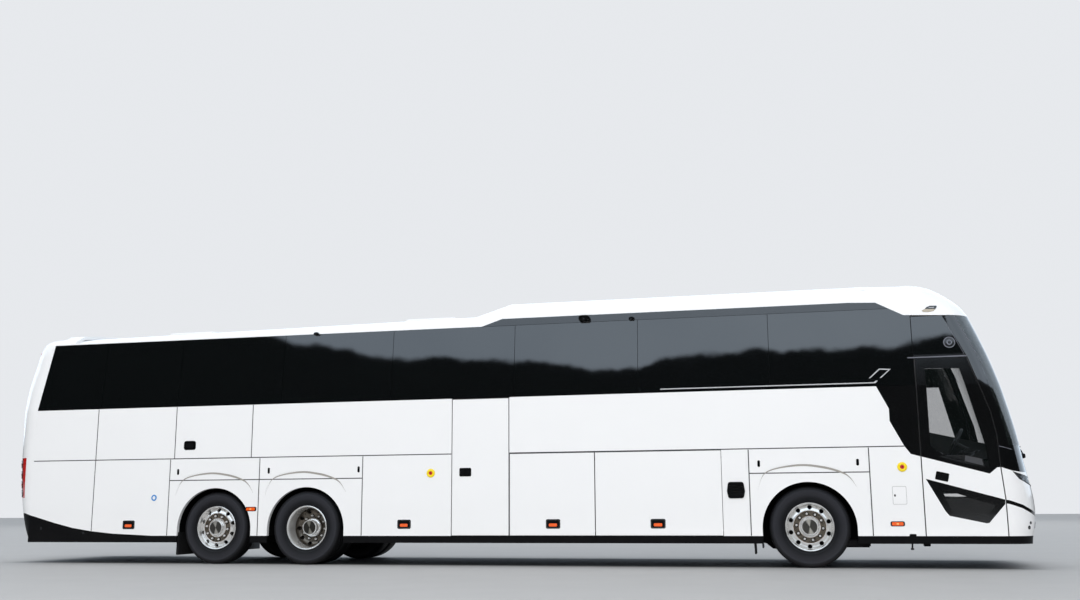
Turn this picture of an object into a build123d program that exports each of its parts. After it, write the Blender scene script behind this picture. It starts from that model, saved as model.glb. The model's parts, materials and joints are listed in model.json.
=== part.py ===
from build123d import *
import math
import os

# Three-axle touring coach. Millimetres, +X forward, +Y to the coach's left, +Z up.
# Origin on the ground under the middle of the overall box.

# Overall sizes
WIDTH = 2550.0
FRONT_OVERHANG = 2810.0
WHEELBASE = 6930.0
BOGIE = 1430.0
REAR_OVERHANG = 3550.0
LENGTH = FRONT_OVERHANG + WHEELBASE + BOGIE + REAR_OVERHANG
SKIRT_BOTTOM_Z = 305.0
SKIRT_TOP_Z = 400.0
ARCH_SEAM_Z = 1185.0
WAIST_Z = 1500.0
BELT_Z = 2270.0
WINDOW_TOP_Z = 3285.0
TUMBLEHOME = 95.0

# Thicknesses and clearances
WALL_T = 60.0
DOOR_T = 45.0
FLAP_T = 40.0
GLASS_T = 8.0
GLASS_SET = 4.0
NOSE_T = 45.0
LAMP_T = 30.0
ROOF_T = 50.0
SKIRT_T = 30.0
GROOVE_W = 14.0
GROOVE_D = 8.0
DOOR_GAP = 14.0
FLAP_GAP = 7.0
BEARING_GAP = 0.05

# Running gear
WHEEL_R = 512.0
TYRE_W = 295.0
RIM_R = 292.0
RIM_T = 16.0
FLANGE_R = 306.0
ARCH_R = 586.0
ARCH_Z = 490.0
STEER_WHEEL_Y = 1060.0
DRIVE_WHEEL_Y = 1092.0
TWIN_PITCH = 332.0
KINGPIN_Y = 880.0
KINGPIN_R = 20.0
SPINDLE_R = 40.0
HAND_HOLES = 10
CREASE = [(-636, 964), (-511, 1212), (-116, 1301), (193, 1275), (424, 1206), (526, 1132), (606, 1001)]
CREASE_W = 20.0
CREASE_D = 4.0
HOUSING_T = 12.0
HOUSING_R = {"front": 645.0, "drive": 615.0, "tag": 630.0}

X_FRONT = LENGTH / 2
X_REAR = -LENGTH / 2
X_STEER = X_FRONT - FRONT_OVERHANG
X_DRIVE = X_STEER - WHEELBASE
X_TAG = X_DRIVE - BOGIE
AXLE_X = {"front": X_STEER, "drive": X_DRIVE, "tag": X_TAG}
HALF = WIDTH / 2
INNER_Y = HALF - WALL_T
LEAN = TUMBLEHOME / (WINDOW_TOP_Z - BELT_Z)

# Seams along the side, each placed from the axle it belongs with
REAR_SEAM_X = X_REAR + 475.0
QUARTER_X = X_TAG - 2003.0
TAG_PANEL_X = X_TAG - 747.0
BOGIE_SEAM_X = X_TAG + 693.0
DRIVE_PANEL_X = X_DRIVE + 851.0
MID_DOOR_X = X_STEER - 4770.0
MID_DOOR_END_X = MID_DOOR_X + 830.0
FLAP_SEAM_X = X_STEER - 2760.0
FLAP_FRONT_X = X_STEER - 1079.0
VENT_PANEL_X = X_STEER - 731.0
ARCH_PANEL_X = X_STEER + 769.0
DOOR_REAR_X = X_STEER + 1389.0
UPPER_SEAM_X = [X_TAG - 685.0, X_TAG + 553.0]

# Window joints along the side, rear to front
WINDOW_X = [
    X_TAG - 1970.0,
    X_TAG - 685.0,
    X_TAG + 990.0,
    X_DRIVE + 1250.0,
    X_DRIVE + 3050.0,
    X_STEER - 2155.0,
    X_STEER - 418.0,
    DOOR_REAR_X - 6.0,
]
QUARTER_LEAN = 165.0

# Front door and screen, as side-view points: x from the steered axle, z
DOOR_TOP_Z = 2620.0
HEADER_TOP_Z = 2660.0
DOOR_EDGE = [(2344, SKIRT_TOP_Z), (2344, 830), (2316, 1200), (2298, 1627), (2246, 1918), (2016, DOOR_TOP_Z)]
DOOR_PANE = [(1517, 1504), (1680, 1380), (2190, 1238), (2162, 1523), (1931, 2475), (1517, 2480)]
KERB_PANE = [(1623, 940), (2200, 777), (2115, 638), (1738, 708)]
KERB_TRIM = [(1434, 1099), (2342, 838), (2338, 783), (2140, 557), (2108, 553), (1685, 644), (1641, 701)]
SCREEN_FOOT_Z = 1500.0
WEDGE_EDGE = [(901, 2283), (1047, 1982), (1047, 1825), (1204, 1509), (1276, 1408), (1400, 1374)]
SHOULDER_EDGE = [
    (1385, 1378), (2187, 1153), (2281, 1229), (2330, 1229), (2450, 1188), (2560, 1172), (2900, 1150),
]
CHIN_EDGE = [(2330, 838), (2390, 830), (2460, 806), (2545, 776), (2640, 722), (2720, 672), (2830, 640)]
CHIN_H = 46.0
SCREEN_TOP_Z = 3160.0
SCREEN_EDGE = [(2440, SCREEN_FOOT_Z), (2370, 1900), (2150, 2640), (1930, SCREEN_TOP_Z)]
PILLAR_TOP_X = 1770.0
STRIP_TOP_Z = 3385.0
STRIP_TAIL = (-4370.0, -4070.0)
CAP_EDGE = [(630, STRIP_TOP_Z), (964, 3371), (1302, 3189), (1760, 3167), (2500, SCREEN_TOP_Z)]

# Lower edge of the white side at the tail, x from the rear end, z
TAIL_EDGE = [(362, 732), (576, 678), (916, 586), (1229, 514), (1536, 467), (1913, 430), (2531, 402)]
BUMPER_REAR_Z = 732.0

# Roof sections: height of the side line, half width and height of the shoulder top, crown height
ROOF = {
    "tail": (3300.0, 900.0, 3452.0, 3534.0),
    "rear": (3300.0, 900.0, 3395.0, 3480.0),
    "low": (3300.0, 900.0, 3470.0, 3555.0),
    "high": (3415.0, 900.0, 3632.0, 3722.0),
}
RAMP_X = X_STEER - 4528.0
RAMP_L = 520.0
CAP_SEAM_X = X_STEER + 630.0
TAIL_SEAM_X = X_REAR + 980.0

# Roof hatches: middle from the ramp or the tail, foot inside the roof's thickness
HATCHES = [(RAMP_X - 900.0, 3502.0), (TAIL_SEAM_X + 1500.0, 3456.0)]
HATCH_L = 760.0
HATCH_W = 700.0
HATCH_H = 88.0
HATCH_BEVEL = 18.0

# Ends, as plan outlines by height: z, setback of the tip, length of the rounded corner
NOSE = [
    (SKIRT_BOTTOM_Z, 62, 400),
    (470, 28, 425),
    (790, 0, 450),
    (1212, 74, 410),
    (1640, 150, 385),
    (2100, 253, 388),
    (BELT_Z, 297, 390),
    (2440, 346, 390),
    (2610, 399, 390),
    (2876, 493, 400),
    (SCREEN_TOP_Z, 603, 420),
    (3291, 672, 450),
]
NOSE_TOP = [
    (3050, 556, 410),
    (SCREEN_TOP_Z, 603, 420),
    (3291, 678, 450),
    (3400, 780, 500),
    (3508, 911, 560),
    (3603, 1157, 640),
    (3740, 1700, 640),
]
TAIL = [
    (SKIRT_BOTTOM_Z, 300, 330),
    (470, 190, 400),
    (732, 100, 430),
    (1100, 45, 430),
    (1454, 14, 430),
    (1860, 3, 430),
    (BELT_Z, 0, 430),
    (2460, 8, 430),
    (2655, 30, 430),
    (2865, 75, 430),
    (3100, 125, 430),
    (3266, 182, 430),
    (3330, 232, 440),
]
TAIL_TOP = [
    (3100, 125, 430),
    (3266, 182, 430),
    (3330, 232, 440),
    (3366, 325, 450),
    (3404, 560, 480),
    (3545, 1000, 480),
]
TAIL_JOINT_Z = 3266.0
BOW = 85.0
NOSE_BACK_X = X_STEER + 300.0
TAIL_BACK_X = X_REAR + 1600.0

# Luggage flaps: name, rear x, front x, side (-1 right, 1 left)
FLAPS = [
    ("luggage_flap_right_rear", MID_DOOR_END_X, FLAP_SEAM_X, -1),
    ("luggage_flap_right_front", FLAP_SEAM_X, FLAP_FRONT_X, -1),
    ("luggage_flap_left_rear", DRIVE_PANEL_X, MID_DOOR_X, 1),
    ("luggage_flap_left_middle", MID_DOOR_X, FLAP_SEAM_X, 1),
    ("luggage_flap_left_front", FLAP_SEAM_X, FLAP_FRONT_X, 1),
]

# Openings in the ends: half width, foot, top
LID = (800.0, 780.0, 1760.0)
LID_SLOT_Y = (60.0, 700.0)
LID_SLOT_Z = 1180.0
LID_SLOTS = 7
SLOT_PITCH = 64.0
SLOT_H = 26.0
GRILLE_X = (X_TAG - 1800.0, X_TAG - 900.0)
GRILLE_Z = 690.0
GRILLE_ROWS = 10
REAR_PANE = (930.0, 2400.0, 3080.0)
HEADLAMP_Y = 640.0
HEADLAMP_EDGE = [(2452, 1180), (2630, 1127), (2830, 1060), (2830, 950), (2655, 1018), (2530, 1086)]
REAR_LAMP = (1010.0, 960.0, 1560.0)

# Door arms: bar heights, swivel post and pivot places, elbow into the cabin
ARM_Z = (560.0, 1328.0)
POST_Y = HALF - 130.0
POST_IN = 82.0
POST_R = 22.0
POST_Z = (500.0, 1590.0)
PIN_R = 12.0
PIVOT_Y = HALF - DOOR_T - 34.0
ARM_R = 16.0
ELBOW = (100.0, 200.0)
FRONT_ARM = 480.0
MID_ARM = 420.0
FRONT_POST_X = X_STEER + 2312.0 - POST_IN
MID_POST_X = MID_DOOR_X + POST_IN

# Floors and underframe
DECK_Z = 1540.0
DECK_T = 50.0
BAY_FLOOR_Z = 395.0
CAB_FLOOR_Z = 1010.0
CAB_REAR_X = X_STEER + 880.0
TREAD_Z = 450.0
STEP_IN = 315.0
WELL_Y = -480.0
RAIL_Y = (340.0, 440.0)
RAIL_Z = (620.0, 740.0)
TOW_R = 20.5
SEAT_PITCH = 805.0


def half_width(z):
    """Half width of the body at height z: upright to the belt, leaning in above it."""
    return HALF - max(0.0, z - BELT_Z) * LEAN


def block(x0, x1, y0, y1, z0, z1):
    """A box between two corners."""
    size = Box(x1 - x0, y1 - y0, z1 - z0)
    return Pos((x0 + x1) / 2, (y0 + y1) / 2, (z0 + z1) / 2) * size


def rod(x, y, z, radius, length, axis="Z"):
    """A cylinder centred at a point, along an axis."""
    turn = {"Z": Rot(0, 0, 0), "Y": Rot(90, 0, 0), "X": Rot(0, 90, 0)}[axis]
    return Pos(x, y, z) * turn * Cylinder(radius, length)


def bar(start, end, radius):
    """A round bar between two points."""
    a, b = Vector(*start), Vector(*end)
    return Plane(origin=(a + b) / 2, z_dir=b - a) * Cylinder(radius, (b - a).length)


def side_prism(points, y0=-HALF - 100, y1=HALF + 100):
    """A polygon drawn in the side view (x, z), extruded across from y0 to y1."""
    face = make_face(Polyline(*[(x, y0, z) for x, z in points], close=True))
    return extrude(face, amount=y1 - y0, dir=(0, 1, 0))


def section_prism(points, x0, x1):
    """A polygon drawn in the end view (y, z), extruded along from x0 to x1."""
    face = make_face(Polyline(*[(x0, y, z) for y, z in points], close=True))
    return extrude(face, amount=x1 - x0, dir=(1, 0, 0))


def placed(points, shift=0.0, start=X_STEER):
    """Side-view points moved from an axle to the shared frame."""
    return [(start + x + shift, z) for x, z in points]


def mirrored(shape):
    """The same shape on the coach's other side."""
    return mirror(shape, about=Plane.XZ)


def solids_of(shape):
    """The solids in a shape or in a list of shapes."""
    if isinstance(shape, (list, tuple, ShapeList)):
        return [solid for item in shape for solid in solids_of(item)]
    return list(shape.solids())


def save(name, shape):
    """Writes one node."""
    solids = solids_of(shape)
    whole = solids[0] if len(solids) == 1 else Compound(children=solids)
    whole.label = name
    export_step(whole, f"parts/{name}.step")


def side_slab(x0, x1, z0, z1, outer, inner):
    """The right-hand wall between two heights, from outer to inner mm behind the skin."""
    levels = [z0] + ([BELT_Z] if z0 < BELT_Z < z1 else []) + [z1]
    skin = [(-half_width(z) + outer, z) for z in levels]
    back = [(-half_width(z) + inner, z) for z in reversed(levels)]
    return section_prism(skin + back, x0, x1)


def end_outline(z, setback, corner, inset, way):
    """Plan outline of an end at height z: a bowed face and two rounded corners."""
    tip = (X_FRONT if way > 0 else X_REAR) - way * (setback + inset)
    back_x = NOSE_BACK_X if way > 0 else TAIL_BACK_X
    w = half_width(z) - inset
    r = corner - BOW - inset
    length = corner - inset
    bow = (length**2 + (w - r) ** 2 - r**2) / (2 * (length - r))
    centre_x = tip - way * length
    angle = math.atan2(w - r, bow - length)
    meet = (centre_x + way * r * math.cos(angle), w - r + r * math.sin(angle))
    half = (angle + math.pi / 2) / 2
    mid = (centre_x + way * r * math.cos(half), w - r + r * math.sin(half))
    edges = [
        Line((back_x, -w, z), (centre_x, -w, z)),
        ThreePointArc((centre_x, -w, z), (mid[0], -mid[1], z), (meet[0], -meet[1], z)),
        ThreePointArc((meet[0], -meet[1], z), (tip, 0, z), (meet[0], meet[1], z)),
        ThreePointArc((meet[0], meet[1], z), (mid[0], mid[1], z), (centre_x, w, z)),
        Line((centre_x, w, z), (back_x, w, z)),
        Line((back_x, w, z), (back_x, -w, z)),
    ]
    return make_face(Wire(edges))


def end_loft(levels, inset, way):
    """A smooth body through the outlines of a table of levels."""
    return loft([end_outline(z, setback, corner, inset, way) for z, setback, corner in levels])


def end_shell(levels, thickness, way):
    """The hollow end between its skin and the same skin set in by its thickness."""
    return end_loft(levels, 0, way) - end_loft(levels, thickness, way)


def roof_face(kind, inset, x, foot_z):
    """A filled roof section at x: leaning sides, rounded shoulders and a crowned top."""
    side_z, top_y, top_z, crown_z = ROOF[kind]
    foot_y, edge_y = half_width(foot_z) - inset, half_width(side_z) - inset
    top_z, crown_z = top_z - inset, crown_z - inset
    slope = 2 * math.atan((crown_z - top_z) / top_y)
    dy, dz = edge_y - top_y, top_z - side_z
    r = (dy**2 + dz**2) / (2 * (dz * math.cos(slope) - dy * math.sin(slope)))
    cy, cz = top_y - r * math.sin(slope), top_z - r * math.cos(slope)
    half = (math.pi / 2 - slope + math.atan2(side_z - cz, edge_y - cy)) / 2
    mid_y, mid_z = cy + r * math.cos(half), cz + r * math.sin(half)
    edges = [
        Line((x, -foot_y, foot_z), (x, -edge_y, side_z)),
        ThreePointArc((x, -edge_y, side_z), (x, -mid_y, mid_z), (x, -top_y, top_z)),
        ThreePointArc((x, -top_y, top_z), (x, 0, crown_z), (x, top_y, top_z)),
        ThreePointArc((x, top_y, top_z), (x, mid_y, mid_z), (x, edge_y, side_z)),
        Line((x, edge_y, side_z), (x, foot_y, foot_z)),
        Line((x, foot_y, foot_z), (x, -foot_y, foot_z)),
    ]
    return make_face(Wire(edges))


def roof_shell(stations, foot_z):
    """A hollow roof through a table of stations (x, section name)."""
    bodies = []
    for inset in (0.0, ROOF_T):
        faces = [roof_face(kind, inset, x, foot_z) for x, kind in stations]
        bodies.append(loft(faces, ruled=True))
    return bodies[0] - bodies[1]


def capped_end(levels, kind, x0, x1, way):
    """The shell where an end curves over into the roof."""
    bodies = []
    foot_z = levels[0][0]
    for inset in (0.0, ROOF_T):
        roof = extrude(roof_face(kind, inset, x0, foot_z), amount=x1 - x0, dir=(1, 0, 0))
        bodies.append(end_loft(levels, inset, way) & roof)
    return bodies[0] - bodies[1]


def wheel_openings():
    """The three wheel openings, right through both sides and down to the road."""
    cuts = []
    for x in AXLE_X.values():
        cuts.append(rod(x, 0, ARCH_Z, ARCH_R, WIDTH + 200, "Y"))
        cuts.append(block(x - ARCH_R, x + ARCH_R, -HALF - 50, HALF + 50, 0, ARCH_Z))
    return cuts


def below_tail_edge():
    """Everything below the rising lower edge of the white side at the tail."""
    points = placed(TAIL_EDGE, start=X_REAR)
    outline = [(X_REAR - 100, 200), (X_REAR - 100, BUMPER_REAR_Z)] + points + [(points[-1][0], 200)]
    return side_prism(outline)


def tail_zone():
    """The side-view area that belongs to the rear cap."""
    return side_prism([
        (X_REAR - 50, 0),
        (REAR_SEAM_X, 0),
        (REAR_SEAM_X, BELT_Z),
        (REAR_SEAM_X + QUARTER_LEAN, WINDOW_TOP_Z),
        (TAIL_SEAM_X, WINDOW_TOP_Z),
        (TAIL_SEAM_X, 4000),
        (X_REAR - 50, 4000),
    ])


def nose_zone():
    """The side-view area ahead of the front door and its upper pane."""
    edge = placed(DOOR_EDGE, DOOR_GAP)
    rear = [(edge[0][0], 0)] + edge[:-1] + [(edge[-1][0], DOOR_TOP_Z + DOOR_GAP)]
    rear += [(X_STEER + 2010, HEADER_TOP_Z), (X_STEER + PILLAR_TOP_X, SCREEN_TOP_Z)]
    return side_prism(rear + [(X_FRONT + 50, SCREEN_TOP_Z), (X_FRONT + 50, 0)])


def dark_zone():
    """The side-view area of the black upper front, above the shoulder line."""
    return side_prism(placed(SHOULDER_EDGE) + [(X_FRONT + 90, 4000), (X_STEER + SHOULDER_EDGE[0][0], 4000)])


def wedge_zone():
    """The side-view area of the black panel between the windows and the front door."""
    edge = placed(WEDGE_EDGE)
    return side_prism(edge + [(edge[-1][0], 4000), (edge[0][0], 4000)])


def chin_zone():
    """The side-view area of the dark band that runs from the doors round the chin."""
    lower = [(x, z - CHIN_H) for x, z in reversed(CHIN_EDGE)]
    return side_prism(placed(CHIN_EDGE + lower))


def screen_zone():
    """The side-view area of the windscreen."""
    return side_prism(placed(SCREEN_EDGE) + [(X_FRONT + 50, SCREEN_TOP_Z), (X_FRONT + 50, SCREEN_FOOT_Z)])


def cap_zone():
    """The side-view area of the front roof cap."""
    front = [(X_FRONT + 50, CAP_EDGE[-1][1]), (X_FRONT + 50, 4000), (CAP_SEAM_X, 4000)]
    return side_prism(placed(CAP_EDGE) + front)


def crease(x):
    """The crescent pressed into both sides over a wheel opening."""
    drop = [(px, pz - CREASE_W) for px, pz in CREASE[1:-1]]
    upper = Spline(*[(px, 0, pz) for px, pz in CREASE])
    lower = Spline(*[(px, 0, pz) for px, pz in [CREASE[0]] + drop + [CREASE[-1]]])
    face = Pos(x, -HALF + CREASE_D, 0) * make_face(Wire([upper, lower]))
    return extrude(face, amount=2 * CREASE_D, dir=(0, -1, 0))


def side_wall(way):
    """A right-hand side below the windows, with its openings and panel grooves."""
    wall = side_slab(REAR_SEAM_X, DOOR_REAR_X, SKIRT_TOP_Z, BELT_Z, 0, WALL_T)
    cuts = wheel_openings() + [below_tail_edge(), wedge_zone()]
    cuts += [crease(x) for x in AXLE_X.values()]
    for name, x0, x1, side in FLAPS:
        if side == way:
            cuts.append(block(x0, x1, -HALF - 50, 0, 0, WAIST_Z))
    if way < 0:
        cuts.append(block(MID_DOOR_X, MID_DOOR_END_X, -HALF - 50, 0, 0, BELT_Z + 50))
    else:
        cuts += slot_rows(*GRILLE_X, -HALF - 50, -INNER_Y + 50, GRILLE_Z, GRILLE_ROWS)
    upright = [(QUARTER_X, SKIRT_TOP_Z, BELT_Z)] + [(x, WAIST_Z, BELT_Z) for x in UPPER_SEAM_X]
    for x in (TAG_PANEL_X, BOGIE_SEAM_X, DRIVE_PANEL_X, VENT_PANEL_X, ARCH_PANEL_X):
        upright.append((x, SKIRT_TOP_Z, WAIST_Z))
    level = [
        (REAR_SEAM_X, DOOR_REAR_X, WAIST_Z),
        (TAG_PANEL_X, DRIVE_PANEL_X, ARCH_SEAM_Z),
        (VENT_PANEL_X, ARCH_PANEL_X, ARCH_SEAM_Z),
    ]
    g = GROOVE_W / 2
    for x, z0, z1 in upright:
        cuts.append(block(x - g, x + g, -HALF - 5, -HALF + GROOVE_D, z0, z1))
    for x0, x1, z in level:
        cuts.append(block(x0, x1, -HALF - 5, -HALF + GROOVE_D, z, z + GROOVE_W))
    return wall - cuts


def door_plate(thickness, grow=0.0):
    """The front door's plate, grown all round when it stands for its opening."""
    edge = placed(DOOR_EDGE, grow)
    x0 = DOOR_REAR_X + DOOR_GAP - grow
    foot, top = SKIRT_TOP_Z - grow, DOOR_TOP_Z + grow
    outline = [(x0, foot), (edge[0][0], foot)] + edge[1:-1] + [(edge[-1][0], top), (x0, top)]
    return side_slab(x0, edge[0][0] + 50, foot, top, 0, thickness) & side_prism(outline)


def cab_side():
    """The fixed side beside the driver, shaped like the front door with its window cut."""
    plate = door_plate(WALL_T, DOOR_GAP)
    plate = plate & block(DOOR_REAR_X, X_FRONT, -HALF - 50, 0, SKIRT_TOP_Z, DOOR_TOP_Z + DOOR_GAP)
    return plate - side_prism(placed(DOOR_PANE))


def roof_strip(thickness):
    """The dark strip above the right-hand windows of the raised roof."""
    x0, x1 = (X_STEER + x for x in STRIP_TAIL)
    front = DOOR_REAR_X + DOOR_GAP
    outline = [(x0, WINDOW_TOP_Z), (x1, STRIP_TOP_Z), (front, STRIP_TOP_Z), (front, WINDOW_TOP_Z)]
    slab = side_slab(x0, front, WINDOW_TOP_Z, STRIP_TOP_Z, 0, thickness)
    return (slab & side_prism(outline)) - cap_zone()


def slot_rows(x0, x1, y0, y1, foot, rows):
    """A stack of ventilation slots right through a wall."""
    feet = [foot + i * SLOT_PITCH for i in range(rows)]
    return [block(x0, x1, y0, y1, z, z + SLOT_H) for z in feet]


def lid_slots():
    """The engine lid's two banks of slots."""
    banks = []
    for y0, y1 in ((LID_SLOT_Y[0], LID_SLOT_Y[1]), (-LID_SLOT_Y[1], -LID_SLOT_Y[0])):
        banks += slot_rows(X_REAR - 90, X_REAR + 300, y0, y1, LID_SLOT_Z, LID_SLOTS)
    return banks


def front_frame(shell):
    """The dark frame round the windscreen: corner pillars, the panel below and the door header."""
    frame = (shell & nose_zone() & dark_zone()) - screen_zone()
    z0 = DOOR_TOP_Z + DOOR_GAP
    header = side_slab(DOOR_REAR_X, X_STEER + 2016, z0, HEADER_TOP_Z, 0, NOSE_T)
    return frame + header + mirrored(header)


def window_frame():
    """The right-hand posts and rails behind the side glass, a ladder with open windows."""
    out, back = GLASS_T, WALL_T
    ladder = side_slab(REAR_SEAM_X, DOOR_REAR_X, BELT_Z, BELT_Z + 45, out, back)
    ladder += side_slab(REAR_SEAM_X, DOOR_REAR_X, WINDOW_TOP_Z - 60, WINDOW_TOP_Z, out, back)
    for x in [REAR_SEAM_X + 190] + WINDOW_X[:-1] + [DOOR_REAR_X - 30]:
        ladder += side_slab(x - 30, x + 30, BELT_Z, WINDOW_TOP_Z, out, back)
    return ladder - [tail_zone(), cap_zone()]


def side_panes():
    """The right-hand panes with narrow joints, the last one over the front door."""
    panes = []
    stops = [REAR_SEAM_X] + WINDOW_X
    for x0, x1 in zip(stops[:-1], stops[1:]):
        pane = side_slab(x0 + 3, x1 - 3, BELT_Z + 6, WINDOW_TOP_Z - 4, 0, GLASS_T)
        panes.append(pane - [tail_zone(), cap_zone()])
    over = side_slab(DOOR_REAR_X, X_STEER + 2010, HEADER_TOP_Z, SCREEN_TOP_Z, 0, GLASS_T)
    panes.append(over - nose_zone() - cap_zone())
    return panes


def revolved(points, x, y, z, side):
    """A profile (radius, distance outward) turned about an axle line, for one side."""
    face = make_face(Polyline(*[(r, side * w, 0) for r, w in points], close=True))
    return Pos(x, y, z) * revolve(face, axis=Axis.Y)


def tyre(x, y):
    """One tyre with a flat tread and straight-line shoulders."""
    h = TYRE_W / 2
    points = [(RIM_R, -h + 38), (430, -h), (WHEEL_R - 14, -h + 16), (WHEEL_R, -h + 34)]
    points += [(r, -w) for r, w in reversed(points)]
    return revolved(points, x, y, WHEEL_R, 1)


def ring_holes(x, y, ring_r, hole_r, count, depth):
    """A ring of through holes along the axle line."""
    holes = []
    for i in range(count):
        a = 2 * math.pi * (i + 0.5) / count
        holes.append(rod(x + ring_r * math.cos(a), y, WHEEL_R + ring_r * math.sin(a), hole_r, depth, "Y"))
    return holes


def single_rim(x, side):
    """A single wheel's rim: barrel, domed disc with hand holes, hub and brake drum."""
    y = side * STEER_WHEEL_Y
    barrel = [
        (FLANGE_R, -130), (FLANGE_R, -120), (RIM_R, -120), (RIM_R, 120), (FLANGE_R, 120), (FLANGE_R, 130),
        (RIM_R - RIM_T, 130), (RIM_R - RIM_T, 52), (215, 86), (130, 96), (130, 130), (90, 146),
        (SPINDLE_R + BEARING_GAP, 146), (SPINDLE_R + BEARING_GAP, -70), (200, -70), (200, 30), (215, 68),
        (RIM_R - RIM_T, 34), (RIM_R - RIM_T, -130),
    ]
    rim = revolved(barrel, x, y, WHEEL_R, side)
    return rim - ring_holes(x, y + side * 60, 240, 24, HAND_HOLES, 80)


def twin_rim(x, side):
    """A twin wheel's rims: one barrel with four flanges, a deep disc, hub and drum."""
    mid = (2 * DRIVE_WHEEL_Y - TWIN_PITCH) / 2
    inner, outer = DRIVE_WHEEL_Y - TWIN_PITCH - mid, DRIVE_WHEEL_Y - mid
    bore = SPINDLE_R + BEARING_GAP
    points = [
        (FLANGE_R, inner - 130), (FLANGE_R, inner - 120), (RIM_R, inner - 120), (RIM_R, inner + 120),
        (FLANGE_R, inner + 120), (FLANGE_R, inner + 128), (RIM_R, inner + 128), (RIM_R, outer - 128),
        (FLANGE_R, outer - 128), (FLANGE_R, outer - 120), (RIM_R, outer - 120), (RIM_R, outer + 120),
        (FLANGE_R, outer + 120), (FLANGE_R, outer + 130), (RIM_R - RIM_T, outer + 130), (RIM_R - RIM_T, 60),
        (235, 14), (130, 14), (130, 120), (95, 190), (bore, 190), (bore, -200), (200, -200), (200, -14),
        (235, -8), (RIM_R - RIM_T, 30), (RIM_R - RIM_T, inner - 130),
    ]
    rim = revolved(points, x, side * mid, WHEEL_R, side)
    return rim - ring_holes(x, side * (mid + 20), 250, 20, HAND_HOLES, 120)


def knuckle(x, side):
    """A steering knuckle: fork, kingpin and wheel spindle."""
    y = KINGPIN_Y
    part = block(x - 70, x + 70, y + 62, y + 92, WHEEL_R - 90, WHEEL_R + 90)
    for z0, z1 in ((WHEEL_R - 90, WHEEL_R - 48), (WHEEL_R + 48, WHEEL_R + 90)):
        part += block(x - 45, x + 45, y - 45, y + 65, z0, z1)
    part += rod(x, y, WHEEL_R, KINGPIN_R, 150)
    part += rod(x, (y + 80 + STEER_WHEEL_Y + 130) / 2, WHEEL_R, SPINDLE_R, STEER_WHEEL_Y + 50 - y, "Y")
    return part if side > 0 else mirrored(part)


def dead_axle(x):
    """A beam axle with an eye for each kingpin and its air bellows."""
    beam = block(x - 50, x + 50, -KINGPIN_Y + 30, KINGPIN_Y - 30, WHEEL_R - 38, WHEEL_R + 38)
    for side in (-1, 1):
        beam += rod(x, side * KINGPIN_Y, WHEEL_R, 50, 76)
        beam += rod(x, side * 385, (WHEEL_R + RAIL_Z[0]) / 2, 90, RAIL_Z[0] - WHEEL_R)
    bores = [rod(x, side * KINGPIN_Y, WHEEL_R, KINGPIN_R + BEARING_GAP, 200) for side in (-1, 1)]
    return beam - bores


def live_axle(x):
    """The driven axle: tube, final drive, spindles and air bellows."""
    mid = (2 * DRIVE_WHEEL_Y - TWIN_PITCH) / 2
    tube = rod(x, 0, WHEEL_R, 75, 2 * (mid - 215), "Y")
    tube += rod(x, 0, WHEEL_R, 190, 300, "Y")
    tube += rod(x, 0, WHEEL_R, SPINDLE_R, 2 * (mid + 170), "Y")
    for side in (-1, 1):
        tube += rod(x, side * 385, (WHEEL_R + RAIL_Z[0]) / 2, 90, RAIL_Z[0] - WHEEL_R)
    return tube


def door_arm(post_x, reach, way):
    """A swivel post with two elbowed bars; way is 1 when the door travels forward."""
    y = -POST_Y
    post = rod(post_x, y, (POST_Z[0] + POST_Z[1]) / 2, POST_R, POST_Z[1] - POST_Z[0])
    post += rod(post_x, y, (POST_Z[0] + POST_Z[1]) / 2, PIN_R, POST_Z[1] - POST_Z[0] + 70)
    elbow_x, pivot_x = post_x - way * ELBOW[0], post_x - way * reach
    for z in ARM_Z:
        elbow, pivot = (elbow_x, y + ELBOW[1], z), (pivot_x, -PIVOT_Y, z)
        post += bar((post_x, y, z), elbow, ARM_R)
        post += Pos(*elbow) * Sphere(ARM_R)
        post += bar(elbow, pivot, ARM_R)
        post += rod(*pivot, 26, 36)
    return post - [rod(pivot_x, -PIVOT_Y, z, PIN_R + BEARING_GAP, 60) for z in ARM_Z]


def door_lugs(pivot_x):
    """Forked lugs and pins on a door's inner face for the two bars."""
    y0 = -HALF + DOOR_T
    lugs = []
    for z in ARM_Z:
        for z0 in (z - 40, z + 24):
            lugs.append(block(pivot_x - 28, pivot_x + 28, y0 - 2, -PIVOT_Y + 24, z0, z0 + 16))
        lugs.append(rod(pivot_x, -PIVOT_Y, z, PIN_R, 80))
    return lugs


def post_bearings(post_x, way):
    """The two blocks that hold a swivel post, one on the step and one on the door pillar."""
    y = -POST_Y
    low = block(post_x - 32, post_x + 32, y - 32, y + 32, TREAD_Z, POST_Z[0] - 6)
    reach = POST_IN + 20
    x0, x1 = (post_x - 32, post_x + reach) if way > 0 else (post_x - reach, post_x + 32)
    high = block(x0, x1, -INNER_Y, y + 32, POST_Z[1] + 6, POST_Z[1] + 50)
    bore = rod(post_x, y, (POST_Z[0] + POST_Z[1]) / 2, PIN_R + BEARING_GAP, 3000)
    return [low - bore, high - bore]


def stairs(x0, x1, treads):
    """Solid steps rising inward from the right-hand side: a table of (depth in from the wall, top z)."""
    steps, y = [], -INNER_Y
    for depth, top in treads:
        steps.append(block(x0, x1, y, y + depth, BAY_FLOOR_Z, top))
        y += depth
    return steps[0] + steps[1:]


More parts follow.
